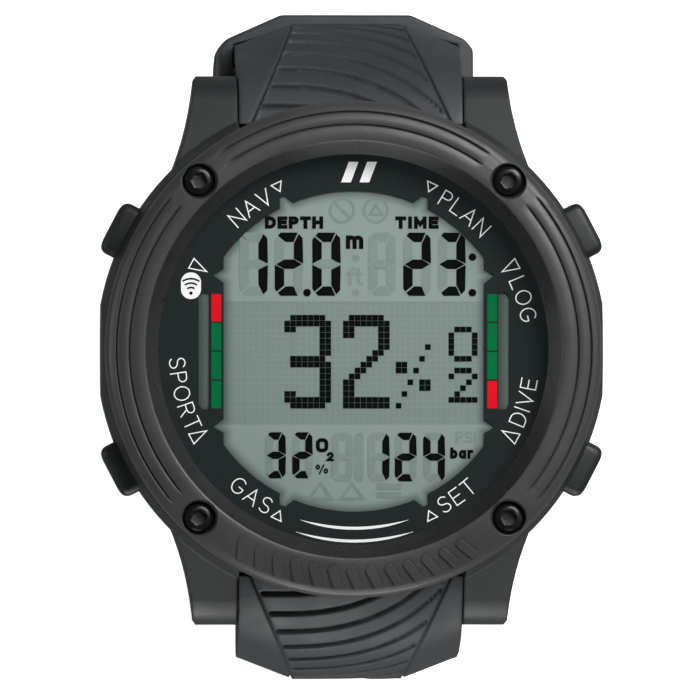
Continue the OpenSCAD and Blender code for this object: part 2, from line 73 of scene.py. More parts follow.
def reach_of(node):
    """How far a CAD node goes along +X, in mm."""
    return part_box(node)[1][0] / MM


# ---------- heights and radii read from the frame, in mm ----------

BEZEL_TOP = top_of("bezel")
BEZEL_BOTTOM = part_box("bezel")[0][2] / MM
BEZEL_RADIUS = reach_of("bezel")
LENS_TOP = top_of("lens")
MASK_TOP = top_of("dial_mask")
LCD_TOP = top_of("lcd_panel")
DIAL_RADIUS = 19.05
PRINT_THICK = 0.03

# ---------- mesh helpers; sizes in mm ----------


def finish_mesh(name, bm, material, sharp=35.0, smooth=True):
    """Turns a bmesh in mm into an object in metres with sharp edges above an angle."""
    bmesh.ops.scale(bm, vec=(MM, MM, MM), verts=bm.verts)
    mesh = bpy.data.meshes.new(name)
    bm.to_mesh(mesh)
    bm.free()
    for polygon in mesh.polygons:
        polygon.use_smooth = smooth
    if smooth:
        mesh.set_sharp_from_angle(angle=math.radians(sharp))
    obj = bpy.data.objects.new(name, mesh)
    bpy.context.scene.collection.objects.link(obj)
    mesh.materials.append(material)
    return obj


def add_prism(bm, outline, low, high):
    """A solid between two heights from a flat outline."""
    bottom = [bm.verts.new((x, y, low)) for x, y in outline]
    top = [bm.verts.new((x, y, high)) for x, y in outline]
    n = len(outline)
    for i in range(n):
        j = (i + 1) % n
        bm.faces.new((bottom[i], bottom[j], top[j], top[i]))
    bm.faces.new(list(reversed(bottom)))
    bm.faces.new(top)
    return bottom + top


def move(verts, matrix):
    """Moves vertices by a matrix."""
    for v in verts:
        v.co = matrix @ v.co


def bevel_sharp(bm, width, segments, above):
    """Rounds the edges that are sharper than an angle."""
    limit = math.radians(above)
    edges = [e for e in bm.edges if len(e.link_faces) == 2 and e.calc_face_angle(0) > limit]
    bmesh.ops.bevel(
        bm, geom=edges, offset=width, segments=segments, profile=0.6, affect="EDGES", clamp_overlap=True
    )


def cut(obj, cutter):
    """Takes the cutter out of obj and deletes it."""
    modifier = obj.modifiers.new("cut", "BOOLEAN")
    modifier.operation = "DIFFERENCE"
    modifier.solver = "EXACT"
    modifier.object = cutter
    bpy.context.view_layer.update()
    evaluated = obj.evaluated_get(bpy.context.evaluated_depsgraph_get())
    mesh = bpy.data.meshes.new_from_object(evaluated)
    obj.modifiers.clear()
    obj.data = mesh
    bpy.data.objects.remove(cutter)
    for polygon in mesh.polygons:
        polygon.use_smooth = True
    mesh.set_sharp_from_angle(angle=math.radians(35))


def rounded_outline(width, height, radius, steps):
    """Outline of a rounded rectangle about the origin."""
    points = []
    corners = [(1, 1, 0), (-1, 1, 90), (-1, -1, 180), (1, -1, 270)]
    for sx, sy, turn in corners:
        middle_x = sx * (width / 2 - radius)
        middle_y = sy * (height / 2 - radius)
        for i in range(steps + 1):
            a = math.radians(turn + 90 * i / steps)
            points.append((middle_x + radius * math.cos(a), middle_y + radius * math.sin(a)))
    return points


def circle_outline(x, y, radius):
    """Outline of a small circle."""
    steps = 16
    return [
        (x + radius * math.cos(2 * math.pi * i / steps), y + radius * math.sin(2 * math.pi * i / steps))
        for i in range(steps)
    ]


def place(obj, body, slot, *nodes):
    """The piece rides on a body, and may stand for CAD nodes, which it hides; slot is not used."""
    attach(obj, body)
    if nodes:
        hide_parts(*nodes)
    return obj


# ---------- materials ----------


class Nodes:
    """Short way to build a shader node tree."""

    def __init__(self, name):
        self.material = bpy.data.materials.new(name)
        self.material.use_nodes = True
        self.tree = self.material.node_tree
        self.shader = self.tree.nodes["Principled BSDF"]
        self.output = self.tree.nodes["Material Output"]

    def add(self, kind, **values):
        node = self.tree.nodes.new("ShaderNode" + kind)
        for key, value in values.items():
            setattr(node, key, value)
        return node

    def link(self, source, target):
        self.tree.links.new(source, target)

    def position(self):
        return self.add("TexCoord").outputs["Object"]

    def noise(self, scale, detail, stretch=None):
        """Noise with a scale in cells per metre."""
        node = self.add("TexNoise")
        node.inputs["Scale"].default_value = scale
        node.inputs["Detail"].default_value = detail
        source = self.position()
        if stretch:
            mapping = self.add("Mapping")
            mapping.inputs["Scale"].default_value = stretch
            self.link(source, mapping.inputs["Vector"])
            source = mapping.outputs["Vector"]
        self.link(source, node.inputs["Vector"])
        return node.outputs["Fac"]

    def span(self, source, low, high, from_low=0.3, from_high=0.7):
        """Maps a value to a range."""
        node = self.add("MapRange")
        node.inputs["From Min"].default_value = from_low
        node.inputs["From Max"].default_value = from_high
        node.inputs["To Min"].default_value = low
        node.inputs["To Max"].default_value = high
        self.link(source, node.inputs["Value"])
        return node.outputs["Result"]

    def mix(self, factor, a, b):
        """Mixes two colours, each a tuple or a socket."""
        node = self.add("Mix", data_type="RGBA")
        for socket, value in ((node.inputs[6], a), (node.inputs[7], b)):
            if isinstance(value, tuple):
                socket.default_value = (*value, 1.0)
            else:
                self.link(value, socket)
        self.link(factor, node.inputs[0])
        return node.outputs[2]

    def bump(self, height, strength, distance, normal=None):
        node = self.add("Bump")
        node.inputs["Strength"].default_value = strength
        node.inputs["Distance"].default_value = distance
        self.link(height, node.inputs["Height"])
        if normal:
            self.link(normal, node.inputs["Normal"])
        return node.outputs["Normal"]

    def rounded_edges(self, radius):
        """A normal that rounds hard edges, as a moulded part's edges are."""
        node = self.add("Bevel", samples=4)
        node.inputs["Radius"].default_value = radius
        return node.outputs["Normal"]


def surface(name, colour, roughness, metal=0.0, mottle=0.12, mottle_scale=120.0, grain=0.25,
            grain_scale=2500.0, edge=0.0, stretch=None, specular=0.5):
    """A material with mottled colour, uneven roughness and a fine moulded or brushed grain."""
    n = Nodes(name)
    n.shader.inputs["Metallic"].default_value = metal
    n.shader.inputs["Specular IOR Level"].default_value = specular
    cloud = n.noise(mottle_scale, 4.0)
    dark = tuple(c * (1 - mottle) for c in colour)
    light = tuple(min(1.0, c * (1 + mottle)) for c in colour)
    n.link(n.mix(n.span(cloud, 0, 1), dark, light), n.shader.inputs["Base Color"])
    patch = n.noise(mottle_scale * 2.7, 3.0)
    n.link(n.span(patch, roughness * 0.85, min(1.0, roughness * 1.15)), n.shader.inputs["Roughness"])
    fine = n.noise(grain_scale, 2.0, stretch=stretch)
    normal = n.rounded_edges(edge) if edge else None
    n.link(n.bump(fine, grain, 0.00004, normal), n.shader.inputs["Normal"])
    return n.material


def printed(name, colour, roughness=0.5, specular=0.3):
    """Ink or a coloured film: an even colour with a faint mottle."""
    return surface(name, colour, roughness, mottle=0.04, mottle_scale=400.0, grain=0.05, specular=specular)


def glow(material, colour, strength):
    """Painted light: a faint glow of the surface, standing in for light the lens and the paper scatter back."""
    shader = material.node_tree.nodes["Principled BSDF"]
    shader.inputs["Emission Color"].default_value = (*colour, 1.0)
    shader.inputs["Emission Strength"].default_value = strength


def lens_material():
    """Clear coated glass that lets light through and adds a weak reflection."""
    n = Nodes("clear_lens")
    n.shader.inputs["Base Color"].default_value = (0.9, 0.95, 1.0, 1)
    smudge = n.noise(90.0, 3.0)
    n.link(n.span(smudge, 0.02, 0.09), n.shader.inputs["Roughness"])
    clear = n.add("BsdfTransparent")
    gloss = n.add("BsdfGlossy")
    n.link(n.span(smudge, 0.02, 0.09), gloss.inputs["Roughness"])
    facing = n.add("LayerWeight")
    facing.inputs["Blend"].default_value = 0.12
    blend = n.add("MixShader")
    n.link(n.span(facing.outputs["Facing"], 0.012, 0.3, 0.0, 1.0), blend.inputs["Fac"])
    n.link(clear.outputs[0], blend.inputs[1])
    n.link(gloss.outputs[0], blend.inputs[2])
    n.link(blend.outputs[0], n.output.inputs["Surface"])
    return n.material


BEZEL = surface("bezel_plastic_satin", (0.050, 0.047, 0.049), 0.40, mottle=0.10, mottle_scale=90,
                grain=0.35, edge=0.00015)
# painted shade: a darker copy of the bezel plastic for the inner slope, standing in for the shade that falls on it
BEZEL_SLOPE_PAINTED_SHADE = surface("bezel_plastic_inner_slope", (0.021, 0.020, 0.021), 0.3, mottle=0.15,
                      mottle_scale=200, grain=0.2)
CASE = surface("case_plastic_satin", (0.017, 0.0205, 0.0215), 0.45, mottle=0.10, mottle_scale=70,
               grain=0.3, edge=0.0004)
STRAP = surface("strap_rubber_matte", (0.033, 0.038, 0.042), 0.55, mottle=0.14, mottle_scale=80, grain=0.45,
                grain_scale=1800, edge=0.00025)
BUTTON = surface("button_rubber_matte", (0.011, 0.0135, 0.014), 0.5, mottle=0.18, mottle_scale=260, grain=0.4)
LCD_GLASS = surface("display_glass", (0.25, 0.33, 0.30), 0.35, mottle=0.04, mottle_scale=200, grain=0.05)
SEAL = surface("seal_rubber_greased", (0.06, 0.02, 0.015), 0.3, mottle=0.15, grain=0.2)
SCREW = surface("screw_black_oxide", (0.030, 0.030, 0.031), 0.24, metal=0.7, mottle=0.2,
                mottle_scale=500, grain=0.2)
# painted highlight: a brighter metal for the screw sockets, standing in for light caught inside them
SOCKET_PAINTED_HIGHLIGHT = surface("screw_socket_worn", (0.22, 0.22, 0.22), 0.22, metal=0.9, mottle=0.3,
                 mottle_scale=900, grain=0.3)
STEEL = surface("brushed_steel_fine", (0.52, 0.53, 0.55), 0.3, metal=1.0, mottle=0.06,
                mottle_scale=300, grain=0.3, grain_scale=900, stretch=(1.0, 14.0, 14.0), edge=0.0002)
BRASS = surface("turned_brass", (0.70, 0.52, 0.22), 0.32, metal=1.0, mottle=0.08, grain=0.2)
MASK_PRINT_PAINTED_GLOW = surface("dial_print_black", (0.007, 0.011, 0.011), 0.5, specular=0.15, mottle=0.05,
               mottle_scale=300, grain=0.04)
# painted light: the black print glows faintly so that it stays lit where the bezel's shade falls on it
glow(MASK_PRINT_PAINTED_GLOW, (0.0065, 0.009, 0.009), 1.0)
WHITE_PLASTIC = surface("moulded_white", (0.75, 0.75, 0.72), 0.5, mottle=0.03, grain=0.15)
ELASTOMER = surface("banded_elastomer", (0.55, 0.28, 0.32), 0.6, mottle=0.25, mottle_scale=2500, grain=0.2)
BOARD = surface("solder_mask_green", (0.02, 0.11, 0.05), 0.3, mottle=0.35, mottle_scale=700, grain=0.2)
CHIP = surface("chip_package", (0.02, 0.02, 0.022), 0.5, mottle=0.15, mottle_scale=600, grain=0.3)
FERRITE = surface("sintered_ferrite", (0.06, 0.055, 0.05), 0.55, mottle=0.2, mottle_scale=800, grain=0.4)
LENS = lens_material()

BY_SLOT = {
    "case_plastic": CASE, "bezel_plastic": BEZEL, "strap_rubber": STRAP, "button_rubber": BUTTON,
    "seal_rubber": SEAL, "dial_print": MASK_PRINT_PAINTED_GLOW, "white_plastic": WHITE_PLASTIC, "connector_rubber": ELASTOMER,
    "board_green": BOARD, "chip_black": CHIP, "screw_black": SCREW, "steel": STEEL, "brass": BRASS,
    "ferrite": FERRITE, "lens_glass": LENS, "lcd": LCD_GLASS,
}


def dress_cad_nodes():
    """Every carried-over CAD node gets the detailed material of its record slot."""
    slots = {part["node"]: part["material_slot"] for part in record["subparts"]}
    for node, obj in frame["nodes"].items():
        material = BY_SLOT.get(slots[node], WHITE_PLASTIC)
        obj.data.materials.clear()
        obj.data.materials.append(material)


dress_cad_nodes()

# ---------- bezel ----------

GROOVES = ((21.82, 0.17), (23.08, 0.17))
GROOVE_ARCS = ((90.0, 34.5), (0.0, 39.5), (180.0, 39.5))
GROOVE_DEPTH = 0.32
SCREW_CIRCLE = 22.33
SCREW_ANGLES = (47.4, 132.6, 227.4, 312.6)


def groove_share(angle):
    """1 inside a groove arc, 0 outside, with a short ramp at each end."""
    share = 0.0
    for middle, half in GROOVE_ARCS:
        away = abs((angle - middle + 180) % 360 - 180)
        share = max(share, min(1.0, (half - away) / 1.2))
    return max(0.0, share)


def top_surface(r):
    """Height of the bezel's gently domed top at a radius."""
    inner, outer = 20.5, 23.7
    t = max(0.0, (r - inner) / (outer - inner))
    return BEZEL_TOP - 0.42 * t ** 2.2


def bezel_profile(share):
    """Closed section of the bezel; share says how deep the grooves are here."""
    seat = LENS_TOP + 0.05
    points = [(20.65, BEZEL_BOTTOM), (20.65, seat), (DIAL_RADIUS, seat), (DIAL_RADIUS, seat + 0.3)]
    points += [(19.16, seat + 0.42), (20.28, BEZEL_TOP - 0.14), (20.4, BEZEL_TOP - 0.03), (20.55, BEZEL_TOP)]
    points += [(21.1, top_surface(21.1))]
    for radius, width in GROOVES:
        deep = GROOVE_DEPTH * share
        points += [
            (radius - 0.12, top_surface(radius - 0.12)),
            (radius, top_surface(radius) - 0.06 * share),
            (radius + 0.03, top_surface(radius) - deep),
            (radius + width - 0.03, top_surface(radius + width) - deep),
            (radius + width, top_surface(radius + width) - 0.06 * share),
            (radius + width + 0.12, top_surface(radius + width + 0.12)),
        ]
    edge = BEZEL_RADIUS
    points += [(23.75, 17.5), (24.02, 17.22), (24.18, 16.86), (edge, 16.4), (edge, BEZEL_BOTTOM + 0.3)]
    points += [(edge - 0.3, BEZEL_BOTTOM)]
    return points


def screw_place(angle):
    """Moves a screw from the origin to its place at an angle around the bezel."""
    return Matrix.Rotation(math.radians(angle), 4, "Z") @ Matrix.Translation((SCREW_CIRCLE, 0, 0))


def make_bezel():
    steps = 360
    bm = bmesh.new()
    rings = []
    for i in range(steps):
        a = math.radians(360 * i / steps)
        profile = bezel_profile(groove_share(360 * i / steps))
        rings.append([bm.verts.new((r * math.cos(a), r * math.sin(a), z)) for r, z in profile])
    for i in range(steps):
        a, b = rings[i], rings[(i + 1) % steps]
        for j in range(len(a)):
            k = (j + 1) % len(a)
            bm.faces.new((a[k], b[k], b[j], a[j]))
    bmesh.ops.recalc_face_normals(bm, faces=bm.faces)
    obj = finish_mesh("bezel_ring", bm, BEZEL)
    cutter = bmesh.new()
    pocket = [(0.0, 16.2), (1.62, 16.2), (1.62, 17.35), (1.7, 17.52), (1.95, 18.3), (0.0, 18.3)]
    for angle in SCREW_ANGLES:
        move(add_revolve_solid(cutter, pocket, 48), screw_place(angle))
    bmesh.ops.recalc_face_normals(cutter, faces=cutter.faces)
    cut(obj, finish_mesh("pocket_cutter", cutter, BEZEL))
    # painted shade: the inner slope's faces take the darker copy of the bezel plastic
    obj.data.materials.append(BEZEL_SLOPE_PAINTED_SHADE)
    slope_edge = 20.36
    for polygon in obj.data.polygons:
        spot = polygon.center / MM
        if math.hypot(spot.x, spot.y) < slope_edge and spot.z > LENS_TOP:
            polygon.material_index = 1
    return place(obj, "case", "bezel_plastic", "bezel")


def add_revolve_solid(bm, profile, steps):
    """A solid of revolution whose profile starts and ends on the axis. Returns its vertices."""
    low = bm.verts.new((0, 0, profile[0][1]))
    high = bm.verts.new((0, 0, profile[-1][1]))
    rings = []
    for i in range(steps):
        a = 2 * math.pi * i / steps
        rings.append([bm.verts.new((r * math.cos(a), r * math.sin(a), z)) for r, z in profile[1:-1]])
    for i in range(steps):
        a, b = rings[i], rings[(i + 1) % steps]
        bm.faces.new((low, b[0], a[0]))
        bm.faces.new((high, a[-1], b[-1]))
        for j in range(len(a) - 1):
            bm.faces.new((a[j], b[j], b[j + 1], a[j + 1]))
    return [low, high] + [v for ring in rings for v in ring]


def make_grip_ribs():
    """Raised slanted grip ribs on the bezel's lower arc."""
    bm = bmesh.new()
    count, middle, spacing, radius = 13, 270.0, 4.9, 22.3
    rib_length, rib_width, rib_corner = 2.3, 0.85, 0.36
    sunk, proud = 0.3, 0.16
    for i in range(count):
        angle = middle + (i - (count - 1) / 2) * spacing
        verts = add_prism(bm, rounded_outline(rib_length, rib_width, rib_corner, 4), -sunk, proud)
        slant = Matrix.Rotation(math.radians(24), 4, "Z")
        tilt = Matrix.Rotation(math.radians(6), 4, "Y")
        spot = Matrix.Translation((radius, 0, top_surface(radius))) @ tilt
        move(verts, Matrix.Rotation(math.radians(angle), 4, "Z") @ spot @ slant)
    bevel_sharp(bm, 0.1, 3, 60)
    obj = finish_mesh("bezel_grip_ribs", bm, BEZEL, 50)
    return place(obj, "case", "bezel_plastic")


def make_screws():
    """Domed cap screws with a hexagon socket, heads down in the bezel's pockets."""
    bm = bmesh.new()
    seat = 16.22
    head = [
        (0.0, 9.4), (0.98, 9.4), (0.98, seat), (1.42, seat), (1.5, seat + 0.08), (1.5, seat + 0.55),
        (1.44, seat + 0.82), (1.24, seat + 1.02), (0.98, seat + 1.1), (0.0, seat + 1.12),
    ]
    hexes = bmesh.new()
    for angle in SCREW_ANGLES:
        spot = screw_place(angle)
        turn = Matrix.Rotation(math.radians(angle * 1.7), 4, "Z")
        move(add_revolve_solid(bm, head, 48), spot)
        socket = [(0.0, seat + 0.4), (0.78, seat + 0.46), (0.78, seat + 1.0)]
        socket += [(0.92, seat + 1.3), (0.0, seat + 1.3)]
        move(add_revolve_solid(hexes, socket, 6), spot @ turn)
    bmesh.ops.recalc_face_normals(bm, faces=bm.faces)
    bmesh.ops.recalc_face_normals(hexes, faces=hexes.faces)
    obj = finish_mesh("bezel_cap_screws", bm, SCREW)
    cut(obj, finish_mesh("socket_cutter", hexes, SCREW))
    # painted highlight: the sockets' walls and floors get a brighter metal so that they look lit
    obj.data.materials.append(SOCKET_PAINTED_HIGHLIGHT)
    socket_reach, socket_top = 0.8, seat + 1.05
    centres = [screw_place(angle).translation for angle in SCREW_ANGLES]
    for polygon in obj.data.polygons:
        middle = polygon.center / MM
        nearest = min((middle - centre).xy.length for centre in centres)
        if nearest < socket_reach and middle.z < socket_top:
            polygon.material_index = 1
    return place(obj, "case", "screw_black", "bezel_screws")


# ---------- buttons ----------

CORNERS = {"top_right": 27.4, "top_left": 152.6, "bottom_left": 207.4, "bottom_right": 332.6}
CAP_BACK = 24.0
CAP_REACH = 26.6
CAP_WIDTH = 5.4
CAP_DOME = 16.0


def make_button(corner, angle):
    """Rounded rubber cap with a faintly dished face, on its sealed steel stem."""
    low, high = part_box("button_" + corner)
    height = (high[2] - low[2]) / MM
    middle = (high[2] + low[2]) / 2 / MM
    width, reach = CAP_WIDTH, CAP_REACH
    bm = bmesh.new()
    sections = [(CAP_BACK, 0.12), (CAP_BACK + 0.12, 0.0), (reach - 0.75, 0.0), (reach - 0.45, 0.07)]
    sections += [(reach - 0.2, 0.22), (reach - 0.05, 0.45), (reach, 0.75)]
    sections += [(reach - 0.03, 1.1), (reach - 0.08, 1.6)]
    loops = []
    for out, inset in sections:
        corner_radius = max(0.25, 0.85 - inset * 0.6)
        outline = rounded_outline(height - 2 * inset, width - 2 * inset, corner_radius, 6)
        dome = max(0.0, out - CAP_BACK - 1) / (reach - CAP_BACK - 1)
        loops.append([bm.verts.new((-x, y, out - dome * y * y / 2 / CAP_DOME)) for x, y in outline])
    for a, b in zip(loops, loops[1:]):
        for i in range(len(a)):
            j = (i + 1) % len(a)
            bm.faces.new((a[i], a[j], b[j], b[i]))
    bm.faces.new(loops[0])
    bm.faces.new(loops[-1])
    stem = [(0.0, 18.72), (0.7, 18.72), (0.7, 19.4), (1.2, 19.4), (1.2, 20.9), (0.75, 20.9), (0.75, 21.5),
            (1.2, 21.5), (1.2, CAP_BACK), (0.0, CAP_BACK)]
    add_revolve_solid(bm, stem, 32)
    outward = Matrix.Rotation(math.radians(angle), 4, "Z") @ Matrix.Translation((0, 0, middle))
    move(bm.verts, outward @ Matrix.Rotation(math.radians(90), 4, "Y"))
    bmesh.ops.recalc_face_normals(bm, faces=bm.faces)
    obj = finish_mesh("push_button_" + corner, bm, BUTTON, 40)
    return place(obj, "button_" + corner, "button_rubber", "button_" + corner)


make_bezel()
make_grip_ribs()
make_screws()
for corner_name, corner_angle in CORNERS.items():
    make_button(corner_name, corner_angle)

# ---------- strap ----------

JOINTS = {joint["name"]: joint for joint in frame["joints"]}


def joint_mm(name):
    """A hinge's place in mm."""
    return [c / MM for c in JOINTS[name]["pos_m"]]


LUG_PIN = joint_mm("upper_strap_hinge")
CURL = joint_mm("keeper_slide_along_strap")
BUCKLE_PIN = joint_mm("buckle_hinge")
HALF_WIDTH = reach_of("strap_upper")
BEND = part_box("strap_upper")[1][1] / MM

FRONT_RADIUS = 14.0
FRONT_INNER = 10.0
FRONT_U = BEND - FRONT_RADIUS
FRONT_Z = -3.5
FRONT_TOP_ANGLE = 74.0
LIP_START = 61.0
LIP_INNER = 12.5
RUN_INSET = 0.9
BARREL_RADIUS = 2.35
CURL_RADIUS = 30.0
CURL_INNER = 26.6
CROWN_HALF = 5.8
SHOULDER_SLOPE = 0.385
TAIL_SLOPE = 0.27


def smooth(t):
    t = max(0.0, min(1.0, t))
    return t * t * (3 - 2 * t)


def panel_half(angle):
    """Half-width of the flat ribbed panel on the strap's front, narrowing towards the bend."""
    u = FRONT_U + FRONT_RADIUS * math.cos(math.radians(max(angle, 0.0)))
    return max(5.55, 5.7 + (31.6 - u) * 0.435)


def wave_depth(angle, x):
    """Depth of the sweeping grooves across the panel, each a sharp line with a scalloped band after it."""
    line_depth, line_half, band_depth = 0.38, 0.17, 0.16
    left_end, first_angle, step = -7.0, 2.0, 9.2
    rise = 0.03 * max(0.0, x - left_end) ** 2.5
    place_in_row = (angle - first_angle - rise) / step
    nearest = round(place_in_row)
    away = (place_in_row - nearest) * step * math.radians(1) * FRONT_RADIUS
    fade = max(0.55, 1.15 - 0.035 * (x - left_end))
    line = line_depth * fade * math.exp(-((away / line_half) ** 2))
    band = band_depth * fade * (1 - (place_in_row - math.floor(place_in_row)))
    return line + band


def outer_drop(x, angle, front):
    """How far the strap's outer face is below its crown; front is 1 on the ribbed part and 0 beyond it."""
    half = panel_half(angle)
    away = abs(x) - half
    edge_line = 0.28 * math.exp(-((away / 0.13) ** 2))
    if away < 0:
        ribbed = wave_depth(angle, x) * smooth(-away / 0.5)
    else:
        flatter = smooth((angle - 22.0) / 38.0)
        ribbed = 0.12 + away * SHOULDER_SLOPE * (1 - 0.85 * flatter)
    plain = max(0.0, abs(x) - CROWN_HALF) * TAIL_SLOPE
    return front * (ribbed + edge_line) + (1 - front) * plain


def across_positions(half, edge):
    """Positions across half the strap: even inside the panel, close together at its edge line."""
    inside = [half * i / 34 for i in range(33)]
    line = [half - 0.22, half - 0.13, half - 0.06, half, half + 0.06, half + 0.13, half + 0.22]
    if edge < half + 1.2:
        scale = edge / (half + 2.0)
        inside = [x * scale for x in inside]
        line = [x * scale for x in line]
    start = line[-1]
    outside = [start + (edge - 0.3 - start) * i / 9 for i in range(1, 10)]
    return inside + line + outside


def strap_section(angle, inner, outer, edge, front):
    """Closed section as (across, distance from the arc centre)."""
    half = panel_half(angle) if front > 0 else CROWN_HALF
    right = across_positions(half, edge)
    row = [-x for x in reversed(right[1:])] + right
    points = [(x, outer - outer_drop(x, angle, front)) for x in row]
    rim = points[-1][1]
    side = [(edge - 0.09, rim - 0.05), (edge, rim - 0.24), (edge, inner + 0.35), (edge - 0.1, inner + 0.1)]
    side.append((edge - 0.38, inner))
    under = [(x * (edge - 0.38), inner) for x in (0.66, 0.33, 0.0, -0.33, -0.66)]
    return points + side + under + [(-x, r) for x, r in reversed(side)]


def sweep(bm, stations, mirrored):
    """Skins sections placed along the side view. A station is (u, z, angle, section)."""
    rings = []
    for u, z, angle, section in stations:
        c, s = math.cos(math.radians(angle)), math.sin(math.radians(angle))
        sign = -1 if mirrored else 1
        rings.append([bm.verts.new((x, sign * (u + r * c), z + r * s)) for x, r in section])
    for a, b in zip(rings, rings[1:]):
        for i in range(len(a)):
            j = (i + 1) % len(a)
            bm.faces.new((a[i], a[j], b[j], b[i]))
    bm.faces.new(rings[0])
    bm.faces.new(list(reversed(rings[-1])))
    bmesh.ops.recalc_face_normals(bm, faces=bm.faces)


def front_stations():
    """The ribbed front, from under the bezel to the bend."""
    steps = 160
    rows = []
    for i in range(steps + 1):
        angle = FRONT_TOP_ANGLE * (1 - i / steps)
        inner = LIP_INNER if angle > LIP_START else FRONT_INNER
        section = strap_section(angle, inner, FRONT_RADIUS, HALF_WIDTH, 1.0)
        rows.append((FRONT_U, FRONT_Z, angle, section))
    return rows


def run_stations(length):
    """The straight part below the bend; the ribbing fades out on its first millimetres."""
    fade_length = 2.6
    depths = [0.13 * i for i in range(1, 21)] + [3.2, 4.0]
    depths += [4.0 + (length - 4.0) * i / 8 for i in range(1, 9)]
    rows = []
    for depth in depths:
        front = 1 - smooth(depth / fade_length)
        outer = CURL_RADIUS + RUN_INSET * front
        below = -math.degrees(depth / FRONT_RADIUS)
        section = strap_section(below, CURL_INNER, outer, HALF_WIDTH, front)
        rows.append((CURL[1], FRONT_Z - depth, 0.0, section))
    return rows


def curl_stations(z, last):
    """The curled part, turning inward below the wrist."""
    steps = round(last / 2)
    rows = []
    for i in range(1, steps + 1):
        section = strap_section(0.0, CURL_INNER, CURL_RADIUS, HALF_WIDTH, 0.0)
        rows.append((CURL[1], z, -last * i / steps, section))
    return rows


def tail_stations(z, length):
    """The flat tail with its rounded tip."""
    tip_radius, tip_start = 13.0, length - 6.0
    rows = []
    for i in range(1, 13):
        section = strap_section(0.0, CURL_INNER, CURL_RADIUS, HALF_WIDTH, 0.0)
        rows.append((CURL[1] - length * i / 12, z, -90.0, section))
    first = math.degrees(math.asin((length - tip_start) / tip_radius))
    for i in range(1, 25):
        turn = math.radians(first + (87.0 - first) * i / 24)
        edge = min(HALF_WIDTH, tip_radius * math.cos(turn))
        thin = 0.7 * (i / 24) ** 6
        section = strap_section(0.0, CURL_INNER + thin, CURL_RADIUS - thin, edge, 0.0)
        rows.append((CURL[1] - tip_start - tip_radius * math.sin(turn), z, -90.0, section))
    return rows


def add_barrel(bm, y, z, radius, low, high):
    """A bar across the strap with rounded ends."""
    round_off, shoulder = 0.3, 0.09
    profile = [(0.0, low), (radius - round_off, low)]
    profile += [(radius - shoulder, low + shoulder), (radius, low + round_off)]
    profile += [(radius, high - round_off), (radius - shoulder, high - shoulder)]
    profile += [(radius - round_off, high), (0.0, high)]
    verts = add_revolve_solid(bm, profile, 48)
    move(verts, Matrix.Translation((0, y, z)) @ Matrix.Rotation(math.radians(90), 4, "Y"))


def finish_strap(strap, ends, half):
    """Joins a strap half with the bars at its ends and places it; half is upper or lower."""
    bmesh.ops.recalc_face_normals(ends, faces=ends.faces)
    bars = finish_mesh(half + "_ends", ends, STRAP)
    both = bmesh.new()
    both.from_mesh(strap.data)
    both.from_mesh(bars.data)
    both.to_mesh(strap.data)
    both.free()
    bpy.data.objects.remove(bars)
    strap.name = half + "_strap"
    strap.data.set_sharp_from_angle(angle=math.radians(35))
    return place(strap, half + "_strap", "strap_rubber", "strap_" + half)


def make_upper_strap():
    bm = bmesh.new()
    last = -math.degrees(math.atan2(BUCKLE_PIN[2] - CURL[2], BUCKLE_PIN[1] - CURL[1]))
    sweep(bm, front_stations() + run_stations(FRONT_Z - CURL[2]) + curl_stations(CURL[2], last), False)
    strap = finish_mesh("upper_strap_body", bm, STRAP, 50)
    slot_half = 1.9
    cutter = bmesh.new()
    verts = add_prism(cutter, rounded_outline(2 * slot_half, 9.0, 1.2, 5), -4, 4)
    lean = Matrix.Rotation(math.radians(90 - last), 4, "X")
    centre = Matrix.Translation((0, BUCKLE_PIN[1], BUCKLE_PIN[2]))
    move(verts, centre @ lean @ Matrix.Translation((0, 0.5, 0)))
    cut(strap, finish_mesh("slot_cutter", cutter, STRAP))
    ends = bmesh.new()
    add_barrel(ends, LUG_PIN[1], LUG_PIN[2], BARREL_RADIUS, -HALF_WIDTH, HALF_WIDTH)
    for side in (-1, 1):
        low, high = sorted((side * (slot_half + 0.02), side * HALF_WIDTH))
        add_barrel(ends, BUCKLE_PIN[1], BUCKLE_PIN[2], 1.9, low, high)
    return finish_strap(strap, ends, "upper")


def taper_tail(bm):
    """Narrows the lower strap evenly from the height of the case back to its tail."""
    tail_half, drop = 9.0, 66.0
    for vertex in bm.verts:
        below = max(0.0, -vertex.co.z)
        vertex.co.x *= 1 - (1 - tail_half / HALF_WIDTH) * below / drop


def make_lower_strap():
    low_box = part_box("strap_lower")
    curl_z = low_box[0][2] / MM + CURL_RADIUS
    tail = low_box[1][1] / MM + CURL[1] - 7.0
    bm = bmesh.new()
    rows = front_stations() + run_stations(FRONT_Z - curl_z) + curl_stations(curl_z, 90.0)
    sweep(bm, rows + tail_stations(curl_z, tail), True)
    taper_tail(bm)
    strap = finish_mesh("lower_strap_body", bm, STRAP, 50)
    cutter = bmesh.new()
    for i in range(8):
        angle = math.radians(-20 - 9.5 * i)
        out = Vector((0, -math.cos(angle), math.sin(angle)))
        add_hole(cutter, Vector((0, -CURL[1], curl_z)) + out * (CURL_INNER + CURL_RADIUS) / 2, out)
    for i in (1, 2):
        spot = Vector((0, 4.7 * i - CURL[1], curl_z - (CURL_INNER + CURL_RADIUS) / 2))
        add_hole(cutter, spot, Vector((0, 0, -1)))
    bmesh.ops.recalc_face_normals(cutter, faces=cutter.faces)
    cut(strap, finish_mesh("hole_cutter", cutter, STRAP))
    ends = bmesh.new()
    add_barrel(ends, -LUG_PIN[1], LUG_PIN[2], BARREL_RADIUS, -HALF_WIDTH, HALF_WIDTH)
    return finish_strap(strap, ends, "lower")


